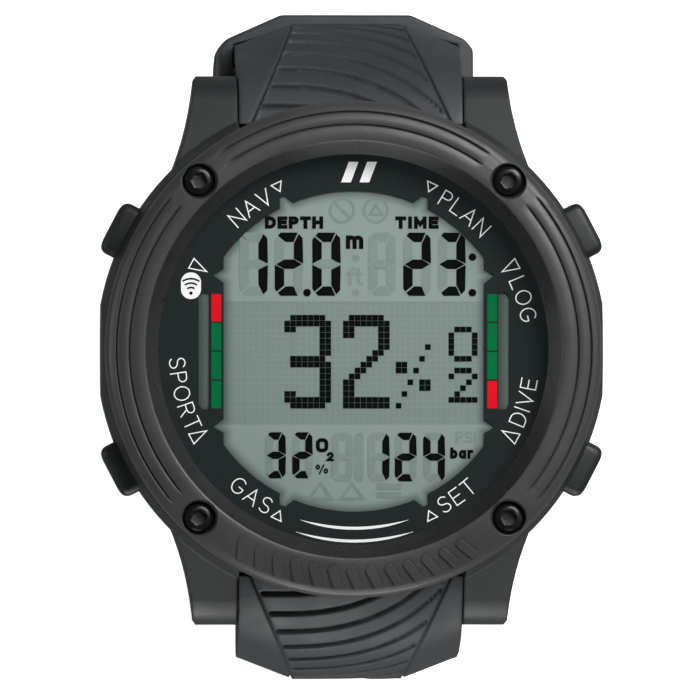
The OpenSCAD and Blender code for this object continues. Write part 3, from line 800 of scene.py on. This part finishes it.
def add_hole(bm, centre, out):
    """A tongue hole's cutter, flared a little at the outer face."""
    thick = (CURL_RADIUS - CURL_INNER) / 2
    hole, flare = 1.4, 1.75
    profile = [(0.0, -thick - 1), (hole, -thick - 1), (hole, thick - 0.35)]
    profile += [(flare, thick + 0.05), (flare, thick + 1), (0.0, thick + 1)]
    verts = add_revolve_solid(bm, profile, 32)
    move(verts, Matrix.Translation(centre) @ out.to_track_quat("Z", "X").to_matrix().to_4x4())


# ---------- keepers ----------


def keeper_loops():
    """Outer and inner outline of a keeper as (across, distance from the arc centre)."""
    wide, wall = HALF_WIDTH + 0.1, 1.5
    inner, outer = CURL_INNER - 3.2, CURL_RADIUS + 0.3
    side, lip, base = wide + wall, outer + wall, inner - wall
    right = [(CROWN_HALF + 0.6, lip), (side - 0.8, lip - 2.4), (side, lip - 3.4)]
    right += [(side, base + 0.8), (side - 0.8, base)]
    hole = [(CROWN_HALF, outer), (wide, outer - 1.4), (wide, inner)]
    return right + [(-x, r) for x, r in reversed(right)], hole + [(-x, r) for x, r in reversed(hole)]


def make_keeper(name, node, body, stations):
    outline, hole = keeper_loops()
    solid = bmesh.new()
    sweep(solid, [(*station, outline) for station in stations], False)
    bevel_sharp(solid, 0.35, 3, 20)
    keeper = finish_mesh(name, solid, STRAP, 40)
    # the cutter reaches past both ends, along the straight or around the curve
    first, last = stations[0], stations[-1]
    over = 2.0
    ends = [(first[0], first[1] + over, first[2]), (last[0], last[1] - over, last[2])]
    if first[2] != last[2]:
        ends = [(first[0], first[1], first[2] + over * 2), (last[0], last[1], last[2] - over * 2)]
    cutter = bmesh.new()
    sweep(cutter, [(*station, hole) for station in [ends[0], *stations, ends[1]]], False)
    cut(keeper, finish_mesh("keeper_cutter", cutter, STRAP))
    return place(keeper, body, "strap_rubber", node)


def make_keepers():
    low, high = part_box("keeper_fixed")
    straight = [(CURL[1], high[2] / MM, 0.0), (CURL[1], low[2] / MM, 0.0)]
    make_keeper("strap_keeper_fixed", "keeper_fixed", "upper_strap", straight)
    curved = [(CURL[1], CURL[2], -5.0 - 13.0 * i / 8) for i in range(9)]
    make_keeper("strap_keeper_sliding", "keeper_sliding", "sliding_keeper", curved)


make_upper_strap()
make_lower_strap()
make_keepers()
for steel_node in ("buckle_frame", "buckle_tongue"):
    rounding = frame["nodes"][steel_node].modifiers.new("rounded", "BEVEL")
    rounding.width = 0.35 * MM
    rounding.segments = 3
    rounding.limit_method = "ANGLE"
    rounding.angle_limit = math.radians(40)

# ---------- dial print ----------

PRINT_LEVEL = MASK_TOP + 0.005
# the printed dial and the display sit a little off the case's centre, as the CAD's window does
DIAL_SHIFT = Matrix.Translation((0.19, -0.15, 0.0))
INK_WHITE_PAINTED_GLOW = printed("ink_white", (0.85, 0.86, 0.85))
# painted light: the white ink glows so that it stays bright where shade falls on it
glow(INK_WHITE_PAINTED_GLOW, (1.0, 1.0, 1.0), 0.30)
INK_BLACK = printed("ink_black", (0.003, 0.0035, 0.0035), 0.5, 0.05)
BAR_GREEN = printed("bar_green", (0.0005, 0.19, 0.055), 0.5, 0.05)
BAR_RED = printed("bar_red", (0.90, 0.008, 0.020), 0.5, 0.05)


def arc_points(cx, cy, rx, ry, start, end, steps):
    """Points along an elliptical arc, in degrees."""
    return [
        (cx + rx * math.cos(math.radians(start + (end - start) * i / steps)),
         cy + ry * math.sin(math.radians(start + (end - start) * i / steps)))
        for i in range(steps + 1)
    ]


# stroke letters in a box 1 high: name -> (width, list of pen strokes)
LETTERS = {
    "A": (0.8, [[(0, 0), (0.4, 1), (0.8, 0)], [(0.14, 0.34), (0.66, 0.34)]]),
    "D": (0.72, [[(0, 0), (0, 1), (0.3, 1)] + arc_points(0.3, 0.5, 0.42, 0.5, 90, -90, 12) + [(0, 0)]]),
    "E": (0.6, [[(0.6, 0), (0, 0), (0, 1), (0.6, 1)], [(0, 0.52), (0.54, 0.52)]]),
    "G": (0.8, [arc_points(0.42, 0.5, 0.42, 0.5, 52, 334, 18) + [(0.8, 0.46), (0.48, 0.46)]]),
    "H": (0.7, [[(0, 0), (0, 1)], [(0.7, 0), (0.7, 1)], [(0, 0.52), (0.7, 0.52)]]),
    "I": (0.0, [[(0, 0), (0, 1)]]),
    "L": (0.55, [[(0, 1), (0, 0), (0.55, 0)]]),
    "M": (0.86, [[(0, 0), (0, 1)], [(0.86, 0), (0.86, 1)], [(0.1, 0.8), (0.43, 0.3), (0.76, 0.8)]]),
    "N": (0.72, [[(0, 0), (0, 1), (0.72, 0), (0.72, 1)]]),
    "O": (0.86, [arc_points(0.43, 0.5, 0.43, 0.5, 90, 450, 24)]),
    "P": (0.6, [[(0, 0), (0, 1)], [(0, 1)] + arc_points(0.33, 0.74, 0.27, 0.26, 90, -90, 8) + [(0, 0.48)]]),
    "R": (0.66, [[(0, 0), (0, 1)], [(0, 1)] + arc_points(0.36, 0.75, 0.27, 0.25, 90, -90, 8) + [(0, 0.5)],
                 [(0.34, 0.5), (0.66, 0)]]),
    "S": (0.66, [arc_points(0.33, 0.75, 0.29, 0.25, 30, 270, 12)
                 + arc_points(0.33, 0.25, 0.31, 0.25, 90, -150, 12)]),
    "T": (0.68, [[(0, 1), (0.68, 1)], [(0.34, 1), (0.34, 0)]]),
    "V": (0.76, [[(0, 1), (0.38, 0), (0.76, 1)]]),
    "a": (0.5, [[(0.5, 0.7), (0.5, 0)], arc_points(0.25, 0.35, 0.25, 0.35, 0, 360, 16)]),
    "b": (0.5, [[(0, 1), (0, 0)], arc_points(0.25, 0.35, 0.25, 0.35, 0, 360, 16)]),
    "f": (0.36, [arc_points(0.36, 0.76, 0.22, 0.24, 90, 180, 6) + [(0.14, 0)], [(0, 0.66), (0.34, 0.66)]]),
    "m": (0.84, [[(0, 0), (0, 0.7)], arc_points(0.21, 0.48, 0.21, 0.22, 180, 0, 8) + [(0.42, 0)],
                 arc_points(0.63, 0.48, 0.21, 0.22, 180, 0, 8) + [(0.84, 0)]]),
    "r": (0.34, [[(0, 0), (0, 0.7)], arc_points(0.26, 0.42, 0.26, 0.28, 180, 80, 6)]),
    "t": (0.36, [[(0.14, 0.95), (0.14, 0.2)] + arc_points(0.32, 0.2, 0.18, 0.2, 180, 270, 6),
                 [(0, 0.66), (0.34, 0.66)]]),
    "2": (0.6, [arc_points(0.3, 0.72, 0.3, 0.28, 170, -30, 10) + [(0, 0), (0.6, 0)]]),
}
# crossing strokes differ in height by this much
STROKE_STEP = 0.003


def add_stroke(bm, points, width, low, high):
    """A pen stroke with mitred joints and square ends, as a thin solid."""
    closed = (Vector(points[0]) - Vector(points[-1])).length < 1e-6
    line = [Vector(points[0])]
    line += [Vector(b) for a, b in zip(points, points[1:]) if (Vector(a) - Vector(b)).length > 1e-4]
    if closed:
        line = line[:-1]
    else:
        line[0] = line[0] + (line[0] - line[1]).normalized() * width / 2
        line[-1] = line[-1] + (line[-1] - line[-2]).normalized() * width / 2
    count = len(line)
    left, right = [], []
    for i, p in enumerate(line):
        before = line[i - 1] if (i > 0 or closed) else None
        after = line[(i + 1) % count] if (i < count - 1 or closed) else None
        a = (p - before).normalized() if before is not None else None
        b = (after - p).normalized() if after is not None else None
        a, b = a or b, b or a
        mean = a + b
        mean = mean.normalized() if mean.length > 0.2 else a
        side = Vector((-mean.y, mean.x))
        reach = width / 2 / max(0.35, side.dot(Vector((-a.y, a.x))))
        left.append(p + side * reach)
        right.append(p - side * reach)
    spans = count if closed else count - 1
    for i in range(spans):
        j = (i + 1) % count
        add_prism(bm, [tuple(right[i]), tuple(right[j]), tuple(left[j]), tuple(left[i])], low, high)


def word_width(word, height, gap):
    return sum(LETTERS[c][0] * height for c in word) + gap * (len(word) - 1)


def add_word(bm, word, x, y, height, width, gap, low, high, stretch=1.0):
    """A word in stroke letters with its lower left corner at (x, y)."""
    pen = x
    for letter in word:
        size, strokes = LETTERS[letter]
        for i, stroke in enumerate(strokes):
            points = [(pen + px * height * stretch, y + py * height) for px, py in stroke]
            add_stroke(bm, points, width, low, high + i * STROKE_STEP)
        pen += size * height * stretch + gap


def add_curved_word(bm, word, middle, inward, low, high):
    """A word along the dial's rim. inward says whether the letters' feet point to the centre."""
    radius, height, gap = RIM_RADIUS, RIM_LETTER_HEIGHT, RIM_LETTER_GAP
    total = word_width(word, height, gap)
    pen = -total / 2
    for letter in word:
        size, strokes = LETTERS[letter]
        along = pen + size * height / 2
        turn = math.degrees(along / radius)
        angle = middle - turn if inward else middle + turn
        up = angle if inward else angle + 180
        centre = Vector((radius * math.cos(math.radians(angle)), radius * math.sin(math.radians(angle))))
        away = Vector((math.cos(math.radians(up)), math.sin(math.radians(up))))
        right = Vector((away.y, -away.x))
        for i, stroke in enumerate(strokes):
            points = [
                tuple(centre + right * (px - size / 2) * height + away * (py - 0.5) * height)
                for px, py in stroke
            ]
            add_stroke(bm, points, PEN, low, high + i * STROKE_STEP)
        pen += size * height + gap


# word, angle of its middle, and whether its feet point to the centre; all sit at RIM_RADIUS
RIM_WORDS = (
    ("NAV", 125.9, True), ("PLAN", 51.4, True), ("LOG", 17.0, True), ("DIVE", -16.7, False),
    ("SET", -54.8, False), ("GAS", -125.5, False), ("SPORT", -166.0, False),
)
RIM_RADIUS = 17.35
RIM_LETTER_HEIGHT = 1.52
RIM_LETTER_GAP = 0.47
PEN = 0.11
# angle from the 3 or 9 o'clock line, and radius of the tip, of the small triangles
TRIANGLES = ((65.0, 17.2), (28.3, 16.4))
# radius and half span, in degrees, of the arcs at the dial's foot
FOOT_ARCS = ((17.3, 17.8), (18.55, 18.0))
FOOT_ARC_WIDTH = 0.28


def add_triangle(bm, angle, tip_radius, low, high):
    """Small outlined triangle that points to the display."""
    base_radius, half = 18.1, 0.54
    outward = Vector((math.cos(math.radians(angle)), math.sin(math.radians(angle))))
    across = Vector((-outward.y, outward.x))
    tip = outward * tip_radius
    left = outward * base_radius + across * half
    right = outward * base_radius - across * half
    add_stroke(bm, [tuple(tip), tuple(left), tuple(right), tuple(tip)], PEN, low, high)


def add_tapered_arc(bm, radius, half_span, width, low, high):
    """A white arc at the dial's foot that thins out to its ends."""
    steps = 36
    outer, inner = [], []
    for i in range(steps + 1):
        t = -1 + 2 * i / steps
        angle = math.radians(270 + half_span * t)
        half = width / 2 * max(0.12, 1 - abs(t) ** 3)
        outer.append(((radius + half) * math.cos(angle), (radius + half) * math.sin(angle)))
        inner.append(((radius - half) * math.cos(angle), (radius - half) * math.sin(angle)))
    for i in range(steps):
        add_prism(bm, [inner[i], outer[i], outer[i + 1], inner[i + 1]], low, high)


def make_dial_print():
    low, high = PRINT_LEVEL, PRINT_LEVEL + PRINT_THICK
    bm = bmesh.new()
    for word, middle, feet_in in RIM_WORDS:
        add_curved_word(bm, word, middle, feet_in, low, high)
    for angle, tip_radius in TRIANGLES:
        for turned in (angle, 180 - angle, 180 + angle, -angle):
            add_triangle(bm, turned, tip_radius, low, high)
    for radius, half_span in FOOT_ARCS:
        add_tapered_arc(bm, radius, half_span, FOOT_ARC_WIDTH, low, high)
    # two plain slanted marks at 12 o'clock
    foot, head, lean, mark_width = 16.5, 18.5, 0.75, 0.95
    for x in (-1.3, 0.5):
        far = x + mark_width
        add_prism(bm, [(x, foot), (far, foot), (far + lean, head), (x + lean, head)], low, high)
    # plain signal sign: an oval badge with dark waves
    badge_angle, badge_radius = math.radians(158.2), 17.2
    cx, cy = badge_radius * math.cos(badge_angle), badge_radius * math.sin(badge_angle)
    badge = [(cx + x, cy + y) for x, y in rounded_outline(1.95, 2.6, 0.95, 8)]
    add_prism(bm, badge, low, high)
    move(bm.verts, DIAL_SHIFT)
    place(finish_mesh("dial_print_white", bm, INK_WHITE_PAINTED_GLOW, smooth=False), "case", "dial_print")
    dark = bmesh.new()
    lift = PRINT_THICK + 0.005
    foot_y, pen = cy - 0.72, 0.17
    add_prism(dark, circle_outline(cx, foot_y, pen), low + lift, high + lift)
    for radius in (0.55, 0.98, 1.41):
        wave = arc_points(cx, foot_y, radius, radius, 58, 122, 10)
        add_stroke(dark, wave, pen, low + lift, high + lift)
    move(dark.verts, DIAL_SHIFT)
    place(finish_mesh("dial_signal_sign", dark, INK_BLACK, smooth=False), "case", "dial_print")


def make_level_bars():
    """Two four-part coloured bars beside the display."""
    low, high = PRINT_LEVEL, PRINT_LEVEL + PRINT_THICK
    centre, half, cell, gap = 13.49, 0.475, 2.83, 0.08
    colours = {BAR_GREEN: bmesh.new(), BAR_RED: bmesh.new()}
    for side in (-1, 1):
        red_cell = 3 if side < 0 else 0
        for i in range(4):
            bottom = -2 * cell + i * cell
            bm = colours[BAR_RED if i == red_cell else BAR_GREEN]
            x = side * centre
            outline = [(x - half, bottom + gap), (x + half, bottom + gap), (x + half, bottom + cell - gap)]
            add_prism(bm, outline + [(x - half, bottom + cell - gap)], low, high)
    for material, bm in colours.items():
        name = "level_cells_" + material.name.split("_")[1]
        move(bm.verts, DIAL_SHIFT)
        place(finish_mesh(name, bm, material, smooth=False), "case", "dial_print")


make_dial_print()
make_level_bars()

# ---------- display ----------

WINDOW_RADIUS = 15.7
WINDOW_HALF = 12.77
SIDE_NOTCH = 7.4
STRIP_INNER, STRIP_OUTER, STRIP_HALF = 14.1, 15.2, 5.7
MATRIX_TOP, MATRIX_BOTTOM = 4.73, -7.34
DOT = 0.573
MATRIX_LEFT = -6.84
GLYPH_TOP = 3.56


def window_outline():
    """Outline of the display window: a clipped circle with notches at its corners."""
    start = math.degrees(math.acos(WINDOW_HALF / WINDOW_RADIUS))
    quarter = [(WINDOW_HALF, SIDE_NOTCH - 0.75), (WINDOW_HALF + 1, SIDE_NOTCH)]
    quarter += [(WINDOW_HALF, SIDE_NOTCH + 0.6)]
    quarter += arc_points(0, 0, WINDOW_RADIUS, WINDOW_RADIUS, start, 62.4, 20)
    quarter += [(7.28, 15.0), (6.73, 15.2), (5.88, 14.55)]
    quarter += arc_points(0, 0, WINDOW_RADIUS, WINDOW_RADIUS, 68.0, 90.0, 16)
    half = quarter + [(-x, y) for x, y in reversed(quarter[:-1])]
    return half + [(-x, -y) for x, y in half]


def in_polygon(x, y, points):
    inside = False
    for (x1, y1), (x2, y2) in zip(points, points[1:] + points[:1]):
        if (y1 > y) != (y2 > y) and x < x1 + (y - y1) * (x2 - x1) / (y2 - y1):
            inside = not inside
    return inside


def window_edge_tree():
    """Points every 0.1 mm along the window's edge, for measuring how far a spot is from it."""
    corners = window_outline()
    spots = []
    for (x1, y1), (x2, y2) in zip(corners, corners[1:] + corners[:1]):
        count = max(1, round(math.hypot(x2 - x1, y2 - y1) / 0.1))
        spots += [(x1 + (x2 - x1) * i / count, y1 + (y2 - y1) * i / count) for i in range(count)]
    tree = kdtree.KDTree(len(spots))
    for i, (x, y) in enumerate(spots):
        tree.insert((x, y, 0), i)
    tree.balance()
    return tree


def lcd_material():
    """Grey-green display glass with painted shade under the window's edge and in the side strips, and a faint grid
    in its middle band.
    """
    n = Nodes("lcd_grey_green")
    shade = n.add("Attribute", attribute_name="shade")
    place_in = n.add("SeparateXYZ")
    n.link(n.position(), place_in.inputs[0])

    def math_node(operation, a, b=None):
        node = n.add("Math", operation=operation)
        for socket, value in zip(node.inputs, (a, b)):
            if value is None:
                continue
            if isinstance(value, (int, float)):
                socket.default_value = value
            else:
                n.link(value, socket)
        return node.outputs[0]

    def share_of_cell(along, first_line):
        """How far along its grid cell a spot is, from 0 to 1."""
        cells_before = 40
        from_first = math_node("SUBTRACT", along, first_line * MM - cells_before * pitch)
        return math_node("FRACT", math_node("DIVIDE", from_first, pitch))

    x, y = place_in.outputs[0], place_in.outputs[1]
    pitch = DOT * MM
    line_share = 0.12
    across_line = math_node("LESS_THAN", share_of_cell(x, MATRIX_LEFT), line_share)
    along_line = math_node("LESS_THAN", share_of_cell(y, GLYPH_TOP), line_share)
    line = math_node("MAXIMUM", across_line, along_line)
    above = math_node("GREATER_THAN", y, MATRIX_BOTTOM * MM)
    below = math_node("LESS_THAN", y, MATRIX_TOP * MM)
    band = math_node("MULTIPLY", above, below)
    plain, tinted, gap = (0.295, 0.385, 0.350), (0.218, 0.297, 0.269), (0.252, 0.338, 0.308)
    cells = n.mix(line, tinted, gap)
    glass = n.mix(band, plain, cells)
    cloud = n.span(n.noise(60.0, 3.0), 0.96, 1.04)
    level = math_node("MULTIPLY", shade.outputs["Fac"], cloud)
    # painted shade: the glass colour darkens towards this dark green where the shade attribute is low
    lit = n.mix(level, (0.045, 0.065, 0.06), glass)
    n.link(lit, n.shader.inputs["Base Color"])
    n.link(n.span(n.noise(300.0, 2.0), 0.42, 0.5), n.shader.inputs["Roughness"])
    n.link(n.bump(n.noise(6000.0, 2.0), 0.05, 0.00002), n.shader.inputs["Normal"])
    return n.material


LCD = lcd_material()
GHOST = printed("lcd_unlit_segment", (0.240, 0.322, 0.290))


def make_lcd_face():
    """The lit face under the window: a fine grid whose colour carries painted shade, darker towards the window's
    edge.
    """
    half, step, face_radius = 16.2, 0.2, 17.6
    tree = window_edge_tree()
    corners = window_outline()
    bm = bmesh.new()
    layer = bm.verts.layers.float.new("shade")
    count = round(2 * half / step) + 1
    grid = []
    for j in range(count):
        line = []
        for i in range(count):
            x, y = -half + i * step, -half + j * step
            vert = bm.verts.new((x, y, LCD_TOP + 0.01))
            # painted shade: each vertex stores how lit it looks
            vert[layer] = painted_edge_shade(x, y, tree, corners)
            line.append(vert)
        grid.append(line)
    for j in range(count - 1):
        for i in range(count - 1):
            cell = (grid[j][i], grid[j][i + 1], grid[j + 1][i + 1], grid[j + 1][i])
            if all(math.hypot(v.co.x, v.co.y) < face_radius for v in cell):
                bm.faces.new(cell)
    loose = [v for v in bm.verts if not v.link_faces]
    bmesh.ops.delete(bm, geom=loose, context="VERTS")
    move(bm.verts, DIAL_SHIFT)
    place(finish_mesh("lcd_face", bm, LCD, smooth=False), "case", "lcd")


def painted_edge_shade(x, y, tree, corners):
    """Painted shade: how lit a spot looks, 1 in the open display, less near the window's edge and in the side
    strips.
    """
    margin, outside, at_edge, edge_reach = 0.3, 0.10, 0.22, 1.15
    if STRIP_INNER - margin < abs(x) < STRIP_OUTER + margin and abs(y) < STRIP_HALF + margin:
        left_edge = STRIP_INNER if x > 0 else -STRIP_OUTER
        end = smooth((STRIP_HALF - abs(y)) / 0.8)
        return 0.02 + 0.33 * smooth((x - left_edge) / 0.9) * (0.4 + 0.6 * end)
    if not in_polygon(x, y, corners):
        return outside
    away = tree.find((x, y, 0))[2]
    return at_edge + (1 - at_edge) * smooth(away / edge_reach) ** 0.7


# ---------- display: lit and unlit segments ----------

SEGMENT_GAP = 0.06
SEGMENTS = {"0": "abcdef", "1": "bc", "2": "abged", "3": "abgcd", "4": "fgbc", "8": "abcdefg"}


def segment_outlines(w, h, t, g):
    """The seven segments of a digit w wide and h high, t thick with gaps g."""
    m, half = h / 2, t / 2
    top = [(0.33 * t, h - 0.33 * t), (0.62 * t, h), (w - 0.58 * t, h)]
    top += [(w - 1.02 * t, h - t), (1.15 * t, h - t)]
    left = [(0, m + g), (t, m + half + g), (t, h - 1.1 * t), (0.22 * t, h - 0.45 * t), (0, h - 0.75 * t)]
    right = [(w, m + g), (w - t, m + half + g), (w - t, h - 1.18 * t), (w - 0.48 * t, h - 0.14 * t)]
    right += [(w - 0.06 * t, h - 0.6 * t)]
    middle = [(0.14 * t, m), (t, m + half), (w - t, m + half)]
    middle += [(w - 0.12 * t, m), (w - t, m - half), (t, m - half)]
    return {
        "a": top, "d": [(x, h - y) for x, y in top],
        "f": left, "e": [(x, h - y) for x, y in left],
        "b": right, "c": [(x, h - y) for x, y in right],
        "g": middle,
    }


def add_values(bm, values, low, high, only_unlit=False):
    """Rows of seven-segment digits; only_unlit draws the segments that are off instead."""
    for foot, width, height, stroke, digits in values:
        outlines = segment_outlines(width, height, stroke, SEGMENT_GAP)
        for digit, right in digits:
            for name, outline in outlines.items():
                if (name in SEGMENTS[digit]) != only_unlit:
                    add_prism(bm, [(right - width + x, foot + y) for x, y in outline], low, high)


def add_dots(bm, rows, column, row, low, high):
    """A dot-matrix figure whose top left dot is at a column and row of the display's matrix."""
    half = DOT * 0.47
    for j, line in enumerate(rows):
        for i, mark in enumerate(line):
            if mark == "#":
                x = MATRIX_LEFT + (column + i + 0.5) * DOT
                y = GLYPH_TOP - (row + j + 0.5) * DOT
                corners = ((-half, -half), (half, -half), (half, half), (-half, half))
                add_prism(bm, [(x + dx, y + dy) for dx, dy in corners], low, high)


RIGHT_SIDE = "......##"
BOTH_SIDES = "##....##"
BIG_THREE = [".######.", "########", BOTH_SIDES] + [RIGHT_SIDE] * 4 + [".######.", ".#######"]
BIG_THREE += [RIGHT_SIDE] * 4 + [BOTH_SIDES, "########", ".######."]
BIG_TWO = [".######.", "########", BOTH_SIDES, BOTH_SIDES, RIGHT_SIDE, RIGHT_SIDE]
BIG_TWO += ["." * (5 - i) + "##" + "." * (1 + i) for i in range(5)] + ["##......"] * 3 + ["########"] * 2
SMALL_O = [".###.", "#...#", "#...#", "#...#", "#...#", ".###."]
SMALL_TWO = [".###.", "#...#", "...#.", "..#..", ".#...", "#####"]
SQUARE = ["##", "##"]

# foot, digit width, height and stroke of each value, then its digits with their right edges
LIT_VALUES = (
    (5.41, 2.78, 6.18, 0.92, (("1", -8.44), ("2", -4.99), ("0", -1.32))),
    (5.41, 2.72, 6.18, 0.92, (("2", 7.51), ("3", 10.9))),
    (-12.42, 2.0, 4.5, 0.72, (("3", -6.68), ("2", -4.06))),
    (-12.72, 2.15, 4.76, 0.72, (("1", 3.46), ("2", 6.11), ("4", 8.89))),
)
UNLIT_VALUES = (
    (5.41, 2.7, 6.18, 0.92, (("8", 4.06),)),
    (-12.72, 2.15, 4.76, 0.72, (("8", -0.1),)),
    (-12.72, 0.9, 4.76, 0.4, (("8", 0.95),)),
)
# word, left edge, foot, height, stroke, gap between letters, stretch
LIT_WORDS = (
    ("DEPTH", -8.55, 12.15, 0.84, 0.37, 0.50, 1.2), ("TIME", 4.2, 12.15, 0.84, 0.37, 0.57, 1.2),
    ("m", -0.61, 10.2, 1.29, 0.42, 0.0, 1.19), ("bar", 9.53, -10.35, 0.8, 0.30, 0.42, 1.05),
)


def make_display_content():
    """Everything the display shows, with its unlit segments faint behind it."""
    low, high = LCD_TOP + 0.02, LCD_TOP + 0.05
    lit = bmesh.new()
    add_values(lit, LIT_VALUES, low, high)
    for rows, column, row in ((BIG_THREE, 0, 0), (BIG_TWO, 10, 0), (SMALL_O, 28, 2), (SMALL_TWO, 28, 9),
                              (SQUARE, 19, 8), (SQUARE, 23, 11)):
        add_dots(lit, rows, column, row, low, high)
    for i in range(6):
        add_dots(lit, ["#"], 24 - i, 5 + 2 * i, low, high)
    for x, y in ((-4.62, 5.72), (11.55, 9.2), (11.55, 5.72)):
        add_prism(lit, circle_outline(x, y, 0.38), low, high)
    for word, x, y, height, width, gap, stretch in LIT_WORDS:
        add_word(lit, word, x, y, height, width, gap, low, high, stretch)
    add_oxygen_sign(lit, low, high)
    move(lit.verts, DIAL_SHIFT)
    place(finish_mesh("display_lit", lit, INK_BLACK, smooth=False), "case", "lcd")
    unlit = bmesh.new()
    drop = 0.005
    add_values(unlit, UNLIT_VALUES, low - drop, high - drop)
    add_values(unlit, LIT_VALUES, low - drop, high - drop, only_unlit=True)
    add_unlit_signs(unlit, low - drop, high - drop)
    move(unlit.verts, DIAL_SHIFT)
    place(finish_mesh("display_unlit", unlit, GHOST, smooth=False), "case", "lcd")


def add_oxygen_sign(bm, low, high):
    """O with a small 2, above a percent sign, beside the lower left value."""
    ring = [(-3.14 + x, -9.19 + y) for x, y in rounded_outline(0.83, 1.0, 0.3, 4)]
    add_stroke(bm, ring + ring[:1], 0.37, low, high)
    two = [(-2.56 + x * 0.72, -10.62 + y * 0.64) for x, y in LETTERS["2"][1][0]]
    add_stroke(bm, two, 0.25, low, high)
    add_stroke(bm, [(-3.4, -11.95), (-2.98, -11.13)], 0.14, low, high)
    for x, y in ((-3.56, -11.32), (-2.77, -11.7)):
        add_stroke(bm, arc_points(x, y, 0.14, 0.18, 90, 450, 12), 0.16, low, high)


def add_unlit_signs(bm, low, high):
    """Faint round signs above, a unit beside the depth, and signs at the display's foot."""
    for y in (9.1, 5.7):
        add_prism(bm, circle_outline(0.15, y, 0.36), low, high)
    for x in (-1.2, 2.1):
        add_stroke(bm, arc_points(x, 13.75, 1.15, 1.15, 90, 450, 32), 0.28, low, high)
    add_stroke(bm, [(-1.85, 14.4), (-0.55, 13.1)], 0.28, low, high + STROKE_STEP)
    add_stroke(bm, [(1.5, 13.35), (2.1, 14.3), (2.7, 13.35), (1.5, 13.35)], 0.24, low, high)
    add_word(bm, "ft", -0.6, 6.6, 1.45, 0.3, 0.3, low, high)
    add_word(bm, "PSI", 10.0, -8.9, 0.95, 0.22, 0.3, low, high)
    for left in (-4.4, -1.3):
        peak = [(left, -14.4), (left + 1.1, -12.9), (left + 2.2, -14.4), (left, -14.4)]
        add_stroke(bm, peak, 0.3, low, high)
    for bottom in (-14.35, -13.5):
        add_prism(bm, [(2.2, bottom), (4.6, bottom), (4.6, bottom + 0.6), (2.2, bottom + 0.6)], low, high)


make_lcd_face()
make_display_content()

# ---------- studio ----------


def area_light(name, spot, target, size, power, height=None):
    """A soft box at a spot, aimed at a target; sizes in metres, power in watts."""
    light = bpy.data.lights.new(name, "AREA")
    light.shape = "RECTANGLE" if height else "SQUARE"
    light.size = size
    if height:
        light.size_y = height
    light.energy = power
    obj = bpy.data.objects.new(name, light)
    obj.location = spot
    obj.rotation_euler = (Vector(target) - Vector(spot)).to_track_quat("-Z", "Y").to_euler()
    bpy.context.scene.collection.objects.link(obj)
    return obj


def dim_bounce(material):
    """The paper looks white to the camera but throws only a little light back onto the object."""
    tree = material.node_tree
    output = tree.nodes["Material Output"]
    seen = output.inputs["Surface"].links[0].from_socket
    bounce = 0.30
    grey = tree.nodes.new("ShaderNodeBsdfDiffuse")
    grey.inputs["Color"].default_value = (bounce, bounce, bounce, 1.0)
    path = tree.nodes.new("ShaderNodeLightPath")
    blend = tree.nodes.new("ShaderNodeMixShader")
    tree.links.new(path.outputs["Is Camera Ray"], blend.inputs["Fac"])
    tree.links.new(grey.outputs[0], blend.inputs[1])
    tree.links.new(seen, blend.inputs[2])
    tree.links.new(blend.outputs[0], output.inputs["Surface"])


def make_studio():
    low = cad_box[0][2]
    floor = bmesh.new()
    half = 3000.0
    add_prism(floor, [(-half, -half), (half, -half), (half, half), (-half, half)], low / MM - 10.0, low / MM)
    paper = surface("studio_paper", (0.93, 0.93, 0.93), 0.9, mottle=0.006, mottle_scale=4.0, grain=0.02)
    glow(paper, (1.0, 1.0, 1.0), 0.72)
    dim_bounce(paper)
    finish_mesh("studio_floor", floor, paper, smooth=False)
    area_light("soft_box_upper_right", (0.28, 0.38, 0.80), (0, 0, 0.0), 0.45, 3.6)
    area_light("near_lamp_upper_right", (0.11, 0.11, 0.15), (0.01, 0.01, 0.018), 0.10, 0.24)
    area_light("fill_from_six", (-0.05, -0.90, 0.36), (0, 0, 0.0), 0.6, 3.6)
    area_light("low_fill_from_six", (0.0, -0.45, -0.005), (0, -0.03, -0.005), 0.4, 0.7, height=0.1)
    area_light("fill_left", (-0.85, 0.05, 0.27), (0, 0, 0.0), 0.5, 1.5)
    area_light("fill_right", (0.85, 0.10, 0.45), (0, 0, 0.0), 0.6, 1.2)
    area_light("rim_from_twelve", (0.0, 0.85, 0.35), (0, 0, 0.0), 0.6, 0.3)
    world = bpy.data.worlds.new("studio_world")
    world.use_nodes = True
    tree = world.node_tree
    # bright walls and a darker ceiling, so that flat tops don't wash out
    direction = tree.nodes.new("ShaderNodeTexCoord")
    parts = tree.nodes.new("ShaderNodeSeparateXYZ")
    ramp = tree.nodes.new("ShaderNodeMapRange")
    ramp.inputs["To Min"].default_value = 0.6
    ramp.inputs["To Max"].default_value = 0.18
    tree.links.new(direction.outputs["Generated"], parts.inputs[0])
    tree.links.new(parts.outputs[2], ramp.inputs["Value"])
    tree.links.new(ramp.outputs["Result"], tree.nodes["Background"].inputs["Strength"])
    bpy.context.scene.world = world


def make_camera():
    """Straight at the dial from a little to the left, as in the photograph."""
    plane, distance = 0.010, 2.0
    to_left, to_six = math.radians(2.1), math.radians(0.6)
    frame_width = 0.0685
    camera = bpy.data.cameras.new("photo_camera")
    camera.sensor_width = 36.0
    camera.lens = camera.sensor_width * distance / frame_width
    camera.clip_end = 20.0
    obj = bpy.data.objects.new("photo_camera", camera)
    target = Vector((-0.000117, 0.0, plane))
    away = Vector((-math.tan(to_left), -math.tan(to_six), 1.0)).normalized()
    obj.location = target + away * distance
    right = Vector((0, 1, 0)).cross(away).normalized()
    up = away.cross(right)
    obj.rotation_euler = Matrix((right, up, away)).transposed().to_euler()
    bpy.context.scene.collection.objects.link(obj)
    bpy.context.scene.camera = obj


make_studio()
make_camera()
